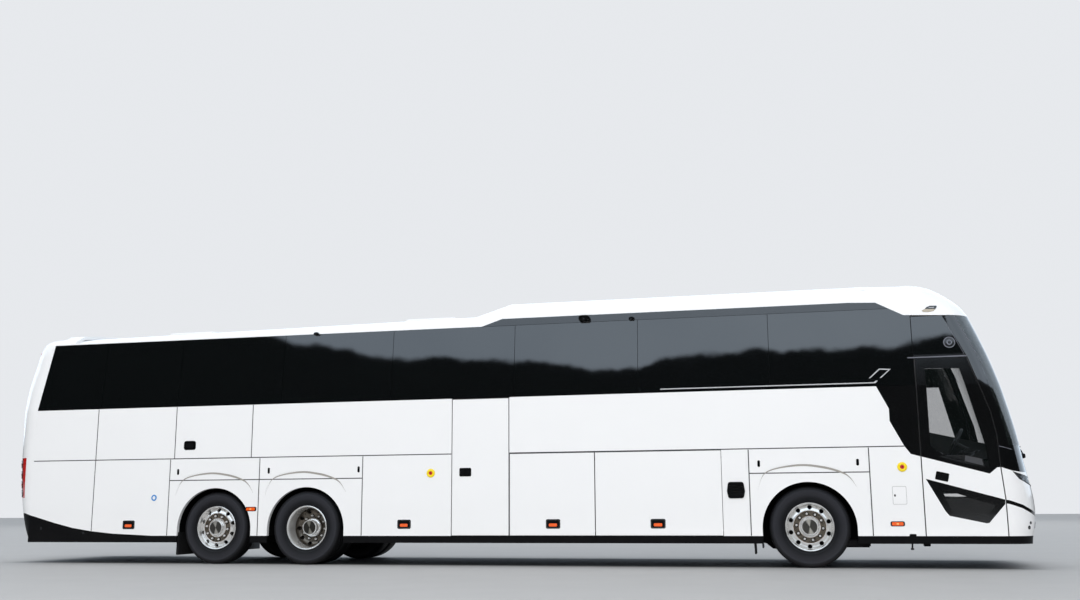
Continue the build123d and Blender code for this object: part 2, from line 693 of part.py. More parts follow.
def seat_rows(side, x_start, x_end, gaps):
    """Double seats in rows along one side, left out where a row would stand over a stairwell."""
    outline = [
        (110, DECK_Z), (380, DECK_Z), (380, 1900), (520, 1900), (520, 2010),
        (160, 2010), (60, 2690), (-40, 2690), (70, 1900), (110, 1900),
    ]
    rows, x = [], x_start
    while x > x_end:
        if not any(x0 - 560 < x < x1 + 80 for x0, x1 in gaps):
            y0, y1 = (270, 1150) if side > 0 else (-1150, -270)
            rows.append(side_prism([(x + px, pz) for px, pz in outline], y0, y1))
        x -= SEAT_PITCH
    return rows


def main():
    os.makedirs("parts", exist_ok=True)
    nodes = {}

    # Sides and roof
    nodes["side_wall_right"] = side_wall(-1)
    cab = cab_side()
    nodes["side_wall_left"] = mirrored(side_wall(1) + (cab - dark_zone()))
    nodes["roof_rear"] = roof_shell([(TAIL_SEAM_X, "rear"), (RAMP_X, "low")], WINDOW_TOP_Z)
    for x, foot in HATCHES:
        hatch = block(x - HATCH_L / 2, x + HATCH_L / 2, -HATCH_W / 2, HATCH_W / 2, foot, foot + HATCH_H)
        nodes["roof_rear"] += chamfer(hatch.faces().sort_by(Axis.Z)[-1].edges(), HATCH_BEVEL)
    stations = [(RAMP_X, "low"), (RAMP_X + RAMP_L, "high"), (CAP_SEAM_X, "high")]
    strip = roof_strip(GLASS_T)
    nodes["roof_front"] = roof_shell(stations, WINDOW_TOP_Z) - [strip, mirrored(strip)]
    wedge = side_slab(X_STEER + WEDGE_EDGE[0][0], DOOR_REAR_X, WEDGE_EDGE[-1][1], BELT_Z, 0, WALL_T)
    wedge = wedge & wedge_zone()
    nodes["side_trims"] = [wedge, mirrored(wedge), mirrored(cab & dark_zone()), strip, mirrored(strip)]
    ladder = window_frame()
    nodes["window_frames"] = [ladder, mirrored(ladder)]
    panes = side_panes()
    cab_pane = side_slab(DOOR_REAR_X, X_STEER + 2340, 500, DOOR_TOP_Z, GLASS_SET, GLASS_SET + GLASS_T)
    driver = cab_pane & side_prism(placed(DOOR_PANE))
    nodes["side_glass"] = panes + [mirrored(pane) for pane in panes + [driver]]

    # Front end
    shell, lamp_shell = end_shell(NOSE, NOSE_T, 1), end_shell(NOSE, LAMP_T, 1)
    lamp_zone = side_prism(placed(HEADLAMP_EDGE), HEADLAMP_Y, HALF)
    lamp_zones = [lamp_zone, mirrored(lamp_zone)]
    chin = (lamp_shell & nose_zone()) & chin_zone()
    below_waist = block(X_STEER, X_FRONT + 50, -HALF - 50, HALF + 50, SKIRT_TOP_Z, WAIST_Z)
    bumper = (shell & nose_zone()) & below_waist
    nodes["front_bumper"] = bumper - [dark_zone(), chin] - lamp_zones
    nodes["headlamps"] = [lamp_shell & zone for zone in lamp_zones]
    nodes["side_trims"].append(chin)
    nodes["front_frame"] = front_frame(shell)
    nodes["windscreen"] = end_shell(NOSE, GLASS_T, 1) & screen_zone()
    nodes["front_cap"] = capped_end(NOSE_TOP, "high", CAP_SEAM_X, X_FRONT, 1) & cap_zone()

    # Rear end
    below = block(X_REAR - 90, X_FRONT, -HALF - 50, HALF + 50, 0, TAIL_JOINT_Z)
    tail = end_shell(TAIL, NOSE_T, -1) & below & tail_zone()
    lid_y, lid_z0, lid_z1 = LID
    pane_y, pane_z0, pane_z1 = REAR_PANE
    rear_y, rear_z0, rear_z1 = REAR_LAMP
    zone = block(X_REAR - 90, X_REAR + 330, rear_y, HALF, rear_z0, rear_z1)
    rear_zones = [zone, mirrored(zone)]
    lid_zone = block(X_REAR - 90, X_REAR + 300, -lid_y, lid_y, lid_z0, lid_z1)
    pane_zone = block(X_REAR - 90, X_REAR + 400, -pane_y, pane_y, pane_z0, pane_z1)
    crown = (capped_end(TAIL_TOP, "tail", X_REAR, TAIL_SEAM_X, -1) - below) & tail_zone()
    nodes["rear_cap"] = ((tail - [below_tail_edge(), lid_zone, pane_zone]) - rear_zones) + crown
    g = FLAP_GAP
    lid_block = block(X_REAR - 90, X_REAR + 300, -lid_y + g, lid_y - g, lid_z0 + g, lid_z1 - g)
    nodes["engine_lid"] = (tail & lid_block) - lid_slots()
    nodes["rear_window"] = end_shell(TAIL, GLASS_T, -1) & pane_zone
    tail_lamp = end_shell(TAIL, LAMP_T, -1)
    nodes["rear_lamps"] = [tail_lamp & zone for zone in rear_zones]
    nodes["rear_bumper"] = tail & below_tail_edge()

    # Black skirts along the foot of the body
    strip = side_slab(REAR_SEAM_X, X_STEER + 2356, SKIRT_BOTTOM_Z, SKIRT_TOP_Z, 0, SKIRT_T)
    kick = side_slab(REAR_SEAM_X, X_REAR + TAIL_EDGE[-1][0], SKIRT_BOTTOM_Z, BUMPER_REAR_Z, 0, SKIRT_T)
    strip = strip + (kick & below_tail_edge()) - wheel_openings()
    flap = block(X_TAG - 615, X_TAG - 603, -INNER_Y, -INNER_Y + 320, 130, 395)
    hanger = block(X_TAG - 640, X_TAG - 603, -HALF + SKIRT_T, -INNER_Y + 320, 395 - 25, 395)
    flap += hanger
    lip = (shell & nose_zone()) & block(X_STEER, X_FRONT + 50, -HALF - 50, HALF + 50, 0, SKIRT_TOP_Z)
    nodes["skirts"] = [strip, mirrored(strip), flap, mirrored(flap), lip]

    # Floors, stairs and underframe
    well_x = (DOOR_REAR_X, X_STEER + 2300)
    deck_foot, cab_foot = DECK_Z - DECK_T, CAB_FLOOR_Z - DECK_T
    deck = [
        block(REAR_SEAM_X + 60, MID_DOOR_X, -INNER_Y, INNER_Y, deck_foot, DECK_Z),
        block(MID_DOOR_X, MID_DOOR_END_X, WELL_Y, INNER_Y, deck_foot, DECK_Z),
        block(MID_DOOR_END_X, CAB_REAR_X, -INNER_Y, INNER_Y, deck_foot, DECK_Z),
        block(CAB_REAR_X - 40, CAB_REAR_X, -INNER_Y, INNER_Y, cab_foot, deck_foot),
        block(CAB_REAR_X, well_x[0], -INNER_Y, INNER_Y, cab_foot, CAB_FLOOR_Z),
        block(*well_x, WELL_Y, INNER_Y, cab_foot, CAB_FLOOR_Z),
    ]
    front_treads = [(STEP_IN, TREAD_Z), (210, 640), (210, 830)]
    mid_treads = [(STEP_IN, TREAD_Z), (105, 680), (105, 900), (105, 1120), (105, 1330)]
    flights = [stairs(*well_x, front_treads), stairs(MID_DOOR_X, MID_DOOR_END_X, mid_treads)]
    nodes["floors"] = deck + flights + post_bearings(FRONT_POST_X, 1) + post_bearings(MID_POST_X, -1)

    side_y = HALF - SKIRT_T
    frame = block(DRIVE_PANEL_X, FLAP_FRONT_X + 40, -side_y, side_y, 350, BAY_FLOOR_Z)
    for x in (DRIVE_PANEL_X, FLAP_FRONT_X):
        frame += block(x, x + 40, -INNER_Y, INNER_Y, BAY_FLOOR_Z, DECK_Z - DECK_T)
    for y0, y1 in (RAIL_Y, (-RAIL_Y[1], -RAIL_Y[0])):
        frame += block(X_REAR + 350, DRIVE_PANEL_X, y0, y1, *RAIL_Z)
        frame += block(FLAP_FRONT_X + 40, X_STEER + 2380, y0, y1, *RAIL_Z)
    for x in (X_REAR + 350, X_TAG - 750, X_DRIVE + 650, X_STEER + 700, X_STEER + 2300):
        frame += block(x, x + 80, -RAIL_Y[1], RAIL_Y[1], *RAIL_Z)
    frame += block(well_x[0], well_x[1], -side_y, 0, 350, BAY_FLOOR_Z)
    frame += block(well_x[0], well_x[1], -RAIL_Y[1], -RAIL_Y[0], BAY_FLOOR_Z, RAIL_Z[0])
    frame -= rod(X_STEER + 2340, 0, 680, TOW_R, 200)
    nodes["underframe"] = frame
    nodes["engine"] = block(X_REAR + 470, X_REAR + 1750, -RAIL_Y[0], RAIL_Y[0], 430, 1300)
    liners = []
    for name, x in AXLE_X.items():
        r = HOUSING_R[name]
        y = (INNER_Y + RAIL_Y[1]) / 2
        ring = rod(x, -y, ARCH_Z, r, INNER_Y - RAIL_Y[1], "Y") - rod(x, -y, ARCH_Z, r - HOUSING_T, 2000, "Y")
        ring -= block(x - 700, x + 700, -HALF, 0, -200, SKIRT_TOP_Z)
        liners += [ring, mirrored(ring)]
    nodes["wheel_housings"] = liners

    # Interior
    well = [(MID_DOOR_X, MID_DOOR_END_X)]
    seats = seat_rows(-1, CAB_REAR_X - 700, X_REAR + 900, well) + seat_rows(1, CAB_REAR_X - 700, X_REAR + 900, [])
    nodes["passenger_seats"] = seats
    dash_line = [(2120, CAB_FLOOR_Z), (2400, CAB_FLOOR_Z), (2430, 1440), (2160, 1500)]
    dash = side_prism(placed(dash_line), -440, 1000)
    seat_line = [
        (1480, CAB_FLOOR_Z), (1700, CAB_FLOOR_Z), (1700, 1400), (1850, 1400), (1850, 1500),
        (1500, 1500), (1420, 2250), (1330, 2250), (1400, 1400), (1480, 1400),
    ]
    seat = side_prism(placed(seat_line), 340, 860)
    wheel_at = Location((X_STEER + 2040, 600, 1640), (0, -60, 0))
    wheel = wheel_at * (Torus(225, 15) + Box(440, 34, 16) + Box(34, 440, 16))
    column = bar((X_STEER + 2040, 600, 1640), (X_STEER + 2200, 600, 1460), 28)
    nodes["driver_station"] = [dash + column + wheel, seat]

    # Axles, knuckles and wheels
    nodes["front_axle"] = dead_axle(X_STEER)
    nodes["drive_axle"] = live_axle(X_DRIVE)
    nodes["tag_axle"] = dead_axle(X_TAG)
    for side, hand in ((-1, "right"), (1, "left")):
        for place in ("front", "tag"):
            x = AXLE_X[place]
            nodes[f"{place}_knuckle_{hand}"] = knuckle(x, side)
            nodes[f"{place}_tyre_{hand}"] = tyre(x, side * STEER_WHEEL_Y)
            nodes[f"{place}_rim_{hand}"] = single_rim(x, side)
        outer = side * DRIVE_WHEEL_Y
        inner = side * (DRIVE_WHEEL_Y - TWIN_PITCH)
        nodes[f"drive_tyres_{hand}"] = [tyre(X_DRIVE, outer), tyre(X_DRIVE, inner)]
        nodes[f"drive_rim_{hand}"] = twin_rim(X_DRIVE, side)

    # Doors and their arms
    leaf = door_plate(DOOR_T) - side_prism(placed(DOOR_PANE)) - side_prism(placed(KERB_PANE))
    kerb_trim = side_prism(placed(KERB_TRIM))
    lugs = door_lugs(FRONT_POST_X - FRONT_ARM)
    half = len(lugs) // 2
    lower, upper = (leaf - dark_zone()) - kerb_trim, leaf & dark_zone()
    nodes["front_door"] = lower + lugs[:half]
    nodes["front_door_trim"] = [upper + lugs[half:], leaf & kerb_trim]
    nodes["front_door_glass"] = [cab_pane & side_prism(placed(shape)) for shape in (DOOR_PANE, KERB_PANE)]
    nodes["front_door_arm"] = door_arm(FRONT_POST_X, FRONT_ARM, 1)
    leaf = block(MID_DOOR_X + DOOR_GAP, MID_DOOR_END_X - DOOR_GAP, -HALF, -HALF + DOOR_T,
                 SKIRT_TOP_Z + FLAP_GAP, BELT_Z - DOOR_GAP)
    for lug in door_lugs(MID_POST_X + MID_ARM):
        leaf += lug
    nodes["middle_door"] = leaf
    nodes["middle_door_arm"] = door_arm(MID_POST_X, MID_ARM, -1)

    # Luggage flaps
    for name, x0, x1, side in FLAPS:
        flap = block(x0 + g, x1 - g, -HALF, -HALF + FLAP_T, SKIRT_TOP_Z + g, WAIST_Z - g)
        nodes[name] = flap if side < 0 else mirrored(flap)

    for name, shape in nodes.items():
        save(name, shape)


if __name__ == "__main__":
    main()
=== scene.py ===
import json
import math

import bmesh
import bpy
from mathutils import Matrix, Vector
from mathutils.bvhtree import BVHTree


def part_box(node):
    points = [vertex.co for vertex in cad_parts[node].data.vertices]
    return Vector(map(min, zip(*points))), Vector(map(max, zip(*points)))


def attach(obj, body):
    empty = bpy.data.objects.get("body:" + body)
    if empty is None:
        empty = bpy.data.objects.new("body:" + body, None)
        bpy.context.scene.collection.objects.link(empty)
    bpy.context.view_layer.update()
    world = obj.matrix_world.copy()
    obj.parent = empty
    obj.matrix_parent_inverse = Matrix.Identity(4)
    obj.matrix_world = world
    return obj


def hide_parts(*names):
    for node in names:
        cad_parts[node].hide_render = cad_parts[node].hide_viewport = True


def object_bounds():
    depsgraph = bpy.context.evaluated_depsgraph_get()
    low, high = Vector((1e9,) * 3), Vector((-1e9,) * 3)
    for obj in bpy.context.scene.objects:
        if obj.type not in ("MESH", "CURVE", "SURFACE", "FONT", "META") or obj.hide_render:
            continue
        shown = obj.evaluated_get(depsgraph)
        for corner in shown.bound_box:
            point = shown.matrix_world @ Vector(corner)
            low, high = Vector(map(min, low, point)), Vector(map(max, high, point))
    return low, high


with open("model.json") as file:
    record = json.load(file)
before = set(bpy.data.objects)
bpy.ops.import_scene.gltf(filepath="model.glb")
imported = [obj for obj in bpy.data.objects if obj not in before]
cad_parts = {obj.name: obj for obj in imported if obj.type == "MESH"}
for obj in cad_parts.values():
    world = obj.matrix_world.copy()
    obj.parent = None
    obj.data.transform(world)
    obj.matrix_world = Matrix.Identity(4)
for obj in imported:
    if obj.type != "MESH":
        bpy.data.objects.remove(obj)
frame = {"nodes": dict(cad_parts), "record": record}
cad_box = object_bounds()
NODES = frame["nodes"]
HULL = "coach_body"
HANDS = ((-1, "right"), (1, "left"))


def centre(node):
    lo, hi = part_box(node)
    return (lo + hi) / 2


STEER = centre("front_tyre_right").x
DRIVE = centre("drive_tyres_right").x
TAG = centre("tag_tyre_right").x
WHEEL_Z = centre("front_tyre_right").z
SIDE = -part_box("side_wall_right")[0].y
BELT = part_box("side_wall_right")[1].z
REAR = cad_box[0][0]
ALONG = Vector((1, 0, 0))
# How far the side leans in above the belt, and over what height
LEAN_IN, LEAN_HIGH = 0.095, 1.015

# Camera, in the place that was worked out from the photograph
PICTURE = (1080, 600)
CAM_AT = Vector((STEER + 0.0946, -16.049, 0.784))
YAW, PITCH, ROLL = (math.radians(a) for a in (13.665, 10.524, -0.333))
FOCAL = 1112.69
SENSOR = 36.0


def make_camera():
    ahead = Vector((-math.sin(YAW) * math.cos(PITCH), math.cos(YAW) * math.cos(PITCH), math.sin(PITCH)))
    right = Vector((math.cos(YAW), math.sin(YAW), 0))
    up = right.cross(ahead)
    c, s = math.cos(ROLL), math.sin(ROLL)
    right, up = right * c + up * s, up * c - right * s
    data = bpy.data.cameras.new("camera")
    data.sensor_width = SENSOR
    data.lens = FOCAL * SENSOR / PICTURE[0]
    data.clip_end = 400
    obj = bpy.data.objects.new("camera", data)
    rows = [(right[i], up[i], -ahead[i], CAM_AT[i]) for i in range(3)]
    obj.matrix_world = Matrix(rows + [(0, 0, 0, 1)])
    bpy.context.scene.collection.objects.link(obj)
    bpy.context.scene.camera = obj


# Materials
class Nodes:
    """Adds and joins the nodes of a material or the world.
    A value is a number, a colour or another node's output."""

    def __init__(self, tree):
        self.tree = tree
        self.main = tree.nodes.get("Principled BSDF")

    def fill(self, node, values):
        for key, value in values.items():
            if isinstance(value, bpy.types.NodeSocket):
                self.tree.links.new(value, node.inputs[key])
            else:
                node.inputs[key].default_value = value
        return node

    def put(self, kind, values, **settings):
        node = self.tree.nodes.new("ShaderNode" + kind)
        for key, value in settings.items():
            setattr(node, key, value)
        return self.fill(node, values)

    def place(self, kind="Object"):
        return self.put("TexCoord", {}).outputs[kind]

    def axes(self, vector):
        return self.put("SeparateXYZ", {"Vector": vector}).outputs

    def noise(self, vector, scale, detail):
        return self.put("TexNoise", {"Vector": vector, "Scale": scale, "Detail": detail}).outputs["Fac"]

    def span(self, value, low, high, to_low=0, to_high=1, blend="LINEAR"):
        values = {"Value": value, "From Min": low, "From Max": high, "To Min": to_low, "To Max": to_high}
        return self.put("MapRange", values, interpolation_type=blend).outputs["Result"]

    def sum(self, operation, *values):
        return self.put("Math", dict(enumerate(values)), operation=operation).outputs["Value"]

    def mix(self, factor, a, b):
        return self.put("Mix", {"Factor": factor, "A": a, "B": b}, data_type="RGBA").outputs["Result"]

    def feed(self, name):
        """The output that a socket of the main shader takes now."""
        return self.main.inputs[name].links[0].from_socket

    def paint(self, colour):
        self.fill(self.main, {"Base Color": colour})


def shades(colour, low, high):
    """A colour made darker and brighter."""
    return [[min(1, c * k) for c in colour] + [1] for k in (low, high)]


def shader(name, colour, rough, metal=0, coat=0, scale=6, vary=0.05, bump=0.05, fine=120, spread=0.05,
           **sockets):
    """A material with noise in its colour, roughness and surface."""
    mat = bpy.data.materials.new(name)
    mat.use_nodes = True
    nodes = Nodes(mat.node_tree)
    place = nodes.place()
    cloud = nodes.noise(place, scale, 5)
    grain = nodes.put("Bump", {"Strength": bump, "Distance": 0.002, "Height": nodes.noise(place, fine, 3)})
    nodes.paint(nodes.mix(cloud, *shades(colour, 1 - vary, 1 + vary)))
    nodes.fill(nodes.main, {
        "Metallic": metal, "Coat Weight": coat, "Coat Roughness": 0.03, "Normal": grain.outputs["Normal"],
        "Roughness": nodes.span(cloud, 0, 1, max(0.01, rough - spread), min(1, rough + spread)),
    })
    nodes.fill(nodes.main, {key.replace("_", " "): value for key, value in sockets.items()})
    return mat


def dusty(mat, colour, top, strength):
    """Road dust that fades out from the foot of the body up to a height."""
    nodes = Nodes(mat.node_tree)
    place = nodes.place()
    fade = nodes.span(nodes.axes(place)["Z"], 0.3, top, strength, 0)
    patch = nodes.sum("MULTIPLY", fade, nodes.noise(place, 3, 8))
    nodes.paint(nodes.mix(patch, nodes.feed("Base Color"), (*colour, 1)))
    return mat


def woven(mat, pitch, strength):
    """A crossed weave in the surface."""
    nodes = Nodes(mat.node_tree)
    values = {"Scale": 1 / pitch, "Distortion": 0.3, "Vector": nodes.place()}
    waves = [nodes.put("TexWave", values, bands_direction=axis).outputs["Fac"] for axis in ("X", "Z")]
    nodes.fill(nodes.feed("Normal").node, {"Height": nodes.sum("MULTIPLY", *waves), "Strength": strength})
    return mat


CAB_GLASS_TOP = 2.6


def glass(name, colour, ior, clear, look, blend, cab=None):
    """Tinted glass: part see-through face on, and shinier at a glancing view.
    cab gives where the clearer glass of the cab begins and how clear it is."""
    mat = shader(name, colour, 0.02, scale=2, vary=0.1, bump=0.003, fine=40, spread=0.01, IOR=ior)
    nodes = Nodes(mat.node_tree)
    least = 1 - clear
    if cab:
        axes = nodes.axes(nodes.place())
        ahead = nodes.sum("GREATER_THAN", axes["X"], cab[0])
        below = nodes.sum("LESS_THAN", axes["Z"], CAB_GLASS_TOP)
        least = nodes.span(nodes.sum("MULTIPLY", ahead, below), 0, 1, least, 1 - cab[1])
    rim = nodes.put("LayerWeight", {"Blend": blend}).outputs[look]
    nodes.fill(nodes.main, {"Alpha": nodes.span(rim, 0, 1, least, 1)})
    return mat


RUBBER_TONE, TYRE_DUST = (0.0095, 0.0095, 0.0105), (0.05, 0.047, 0.043)
# Name, colour, roughness, metal, coat, noise scale and strength, surface strength and scale, spread
GLOSS = shader("gloss_black", (0.003, 0.003, 0.0035), 0.12, 0, 1, 4, 0.2, 0.008, 200, 0.03)
GAP = shader("gap_rubber", (0.05, 0.05, 0.052), 0.7, 0, 0, 10, 0.2, 0.2, 300)
LENS = shader("clear_lens", (0.07, 0.075, 0.08), 0.06, 0, 1, 9, 0.1, 0.05, 60, 0.03, Alpha=0.35)
RED = shader("red_lens", (0.5, 0.012, 0.01), 0.12, 0, 1, 20, 0.15, 0.25, 90)
AMBER = shader("amber_lens", (0.92, 0.115, 0.01), 0.15, 0, 1, 25, 0.12, 0.3, 130)
PALE_AMBER = shader("amber_spot", (1, 0.5, 0.14), 0.2, 0, 1, 25, 0.05, 0.2, 130)
BEIGE = shader("beige_lens", (0.42, 0.36, 0.27), 0.2, 0, 1, 20, 0.1, 0.1, 120)
YELLOW = shader("yellow_ring", (0.9, 0.68, 0.01), 0.35, 0, 0.4, 20, 0.08, 0.08, 300)
BUTTON = shader("red_button", (0.55, 0.01, 0.03), 0.35, 0, 0.4, 20, 0.15, 0.08, 300)
BLUE = shader("blue_ring", (0.05, 0.25, 0.6), 0.35, 0, 0.5, 20, 0.1, 0.05, 200)
RING_GREY = shader("ring_grey", (0.15, 0.155, 0.19), 0.3, 0, 0.5, 22, 0.9, 0.05, 300)
RAIL = shader("grey_rail", (0.14, 0.145, 0.17), 0.35, 0, 0, 10, 0.12, 0.08, 300)
ALLOY = shader("polished_alloy", (0.82, 0.81, 0.79), 0.24, 0.7, 0, 11, 0.22, 0.004, 240, 0.04)
HUB_BROWN = shader("nut_plate", (0.17, 0.145, 0.115), 0.28, 0.85, 0, 16, 0.6, 0.05, 160, 0.12)
DISH_BROWN = shader("dish_shade", (0.16, 0.14, 0.115), 0.3, 0.85, 0, 9, 0.35, 0.04, 120, 0.1)
NUT = shader("wheel_nuts", (0.9, 0.87, 0.83), 0.22, 0.6, 0, 40, 0.2, 0.08, 260, 0.1)
# Near black washers: painted shade round each nut
NUT_SHADE_WASHER = shader("nut_shade_washer", (0.02, 0.018, 0.016), 0.4, 0.5, 0, 30, 0.2, 0.05, 200)
COPPER = shader("copper_edge", (0.62, 0.4, 0.27), 0.3, 1, 0, 30, 0.15, 0.03, 200)
STEEL = shader("bright_steel", (0.66, 0.66, 0.66), 0.16, 1, 0, 22, 0.1, 0.05, 260, 0.06)
WIRE = shader("reflector_chrome", (0.7, 0.72, 0.75), 0.1, 1, 0, 14, 0.15, 0.1, 60)
DARK_ALLOY = shader("shaded_alloy", (0.12, 0.12, 0.12), 0.45, 0.8, 0, 18, 0.2, 0.1, 240)
SATIN = shader("satin_trim", (0.6, 0.605, 0.62), 0.32, 0.35, 0, 20, 0.05, 0.02, 300)
LAMP_CASE = shader("lamp_case", (0.012, 0.012, 0.014), 0.35, 0, 0, 14, 0.2, 0.1, 300)
LED = shader("lamp_strip", (0.85, 0.87, 0.9), 0.25, 0, 1, 30, 0.05, 0.1, 200)
SMOKED = shader("smoked_panel", (0.011, 0.0115, 0.012), 0.22, 0, 0.6, 5, 0.3, 0.02, 120)
PLATE = shader("blank_plate", (0.78, 0.78, 0.76), 0.4, 0, 0.3, 12, 0.03, 0.05, 200)
# Grey of the painted shade along the arch creases
CREASE_SHADE = shader("painted_crease_shade", (0.33, 0.315, 0.285), 0.4, 0, 0, 8, 0.06, 0.02, 200)
PALE_GAP = shader("pale_gap", (0.42, 0.42, 0.42), 0.6, 0, 0, 10, 0.1, 0.05, 200)
FLOORING = shader("floor_covering", (0.13, 0.13, 0.135), 0.6, 0, 0, 9, 0.25, 0.3, 350)
LEATHER = shader("dark_leather", (0.03, 0.03, 0.033), 0.42, 0, 0, 16, 0.2, 0.4, 260, 0.08)
DASH = shader("dash_plastic", (0.045, 0.045, 0.048), 0.55, 0, 0, 10, 0.2, 0.5, 500)
FABRIC = shader("seat_cloth", (0.05, 0.055, 0.07), 0.85, 0, 0, 30, 0.3, 0.5, 400, Sheen_Weight=0.4)
PAINT = shader("white_paint", (0.87, 0.875, 0.88), 0.32, 0, 1, 1.5, 0.012, 0.012, 260, 0.03)
PLASTIC = shader("black_plastic", (0.0035, 0.0035, 0.004), 0.5, 0, 0, 12, 0.2, 0.3, 700, 0.1,
                 Specular_IOR_Level=0.07)
RUBBER = shader("tyre_rubber", RUBBER_TONE, 0.58, 0, 0, 14, 0.25, 0.3, 420, 0.08, Specular_IOR_Level=0.22)
CHASSIS = shader("chassis_coating", (0.01, 0.01, 0.011), 0.6, 0, 0, 9, 0.3, 0.3, 160, 0.12,
                 Specular_IOR_Level=0.25)
GLASS = glass("tinted_glass", (0.0025, 0.003, 0.0035), 1.9, 0.03, "Fresnel", 0.35, (STEER + 1.42, 0.82))
CAB_GLASS = glass("cab_glass", (0.01, 0.014, 0.014), 2.1, 0.82, "Facing", 0.55)
woven(FABRIC, 0.004, 0.4)
dusty(PAINT, (0.55, 0.52, 0.48), 0.9, 0.12)
dusty(PLASTIC, (0.06, 0.057, 0.053), 0.7, 0.06)
dusty(RUBBER, TYRE_DUST, 0.8, 0.2)
dusty(CHASSIS, (0.07, 0.065, 0.06), 1.0, 0.3)


def from_hub(nodes, x, scale=(1, 1, 1)):
    """Where a point lies from the middle of a wheel at x."""
    values = {"Vector": nodes.place(), "Location": (-x, 0, -WHEEL_Z), "Scale": scale}
    return nodes.put("Mapping", values).outputs["Vector"]


def turned_metal_painted_glint(name, colour, x, rough):
    """Metal with fine rings, and two painted highlight lobes round a wheel's own centre."""
    mat = shader(name, colour, rough, 1, 0, 30, 0.08, 0.12, 300, 0.06)
    nodes = Nodes(mat.node_tree)
    at = from_hub(nodes, x)
    values = {"Scale": 45, "Distortion": 0.4, "Vector": at}
    rings = nodes.put("TexWave", values, wave_type="RINGS", rings_direction="Y")
    nodes.fill(nodes.feed("Normal").node, {"Height": rings.outputs["Fac"]})
    axes = nodes.axes(at)
    # Painted highlight: two bright lobes by angle, made from a darker and a brighter copy of the colour
    angle = nodes.sum("ARCTAN2", axes["X"], axes["Z"])
    lobes = nodes.sum("COSINE", nodes.sum("MULTIPLY_ADD", angle, 2, 0.35))
    sheen = nodes.span(lobes, 0.45, 1.05, blend="SMOOTHERSTEP")
    nodes.paint(nodes.mix(sheen, *shades(colour, 0.35, 2.2)))
    return mat


# Painted sheen and shade on the side of a tyre: how pale it is from its foot on the rim to its tread
TYRE_SPAN = (0.29, 0.515)
TYRE_SHEEN_TONES = ((0, 0.004), (0.28, 0.007), (0.5, 0.02), (0.72, 0.026), (0.8, 0.012), (0.9, 0.006), (1, 0.0045))


def side_wall(name, x):
    """Rubber with a painted sheen band on a tyre's side, between painted shade at the tread edge and at the
    foot.
    """
    mat = shader(name, RUBBER_TONE, 0.56, 0, 0, 14, 0.25, 0.3, 420, 0.08, Specular_IOR_Level=0.2)
    nodes = Nodes(mat.node_tree)
    reach = nodes.put("VectorMath", {0: from_hub(nodes, x, (1, 0, 1))}, operation="LENGTH").outputs["Value"]
    # Painted sheen and shade by distance from the hub, in bluish greys
    ramp = nodes.put("ValToRGB", {"Fac": nodes.span(reach, *TYRE_SPAN)})
    spots = ramp.color_ramp.elements
    while len(spots) < len(TYRE_SHEEN_TONES):
        spots.new(0.5)
    for spot, (at, tone) in zip(spots, TYRE_SHEEN_TONES):
        spot.position = at
        spot.color = (tone, tone * 1.02, tone * 1.22, 1)
    nodes.paint(ramp.outputs["Color"])
    return dusty(mat, TYRE_DUST, 0.5, 0.1)


# For each axle: its place, and the tone and roughness of the hub's face, which carries painted highlight
# lobes
HUBS = {
    "front": (STEER, (0.4, 0.38, 0.34), 0.3),
    "drive": (DRIVE, (0.2, 0.19, 0.165), 0.32),
    "tag": (TAG, (0.36, 0.34, 0.31), 0.3),
}
TYRES, BRUSHED_WITH_PAINTED_GLINT = {}, {}
for place, (x, tone, rough) in HUBS.items():
    TYRES[place] = side_wall(f"{place}_tyre_rubber", x)
    BRUSHED_WITH_PAINTED_GLINT[place] = turned_metal_painted_glint(f"{place}_hub_metal", tone, x, rough)


# Mesh helpers
def add(name, verts, faces, mat, body=HULL, smooth=0, bevel=0.0, ride=True):
    """One mesh object from corners and faces, outward-facing, riding on a body.
    smooth is an angle in degrees."""
    mesh = bpy.data.meshes.new(name)
    mesh.from_pydata([tuple(v) for v in verts], [], faces)
    bm = bmesh.new()
    bm.from_mesh(mesh)
    bmesh.ops.remove_doubles(bm, verts=bm.verts, dist=1e-6)
    bmesh.ops.recalc_face_normals(bm, faces=bm.faces)
    if bevel:
        edges = [e for e in bm.edges if len(e.link_faces) == 2 and e.calc_face_angle(0) > 0.6]
        bmesh.ops.bevel(bm, geom=edges, offset=bevel, segments=2, affect="EDGES", clamp_overlap=True)
    bm.to_mesh(mesh)
    bm.free()
    obj = bpy.data.objects.new(name, mesh)
    bpy.context.scene.collection.objects.link(obj)
    mesh.materials.append(mat)
    if smooth:
        mesh.shade_smooth()
        mesh.set_sharp_from_angle(angle=math.radians(smooth))
    if ride:
        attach(obj, body)
    return obj


def slab_faces(n):
    """The faces of a slab: front outline, back outline and the edge between them."""
    edge = [(i, (i + 1) % n, n + (i + 1) % n, n + i) for i in range(n)]
    return [tuple(range(n)), tuple(reversed(range(n, 2 * n)))] + edge


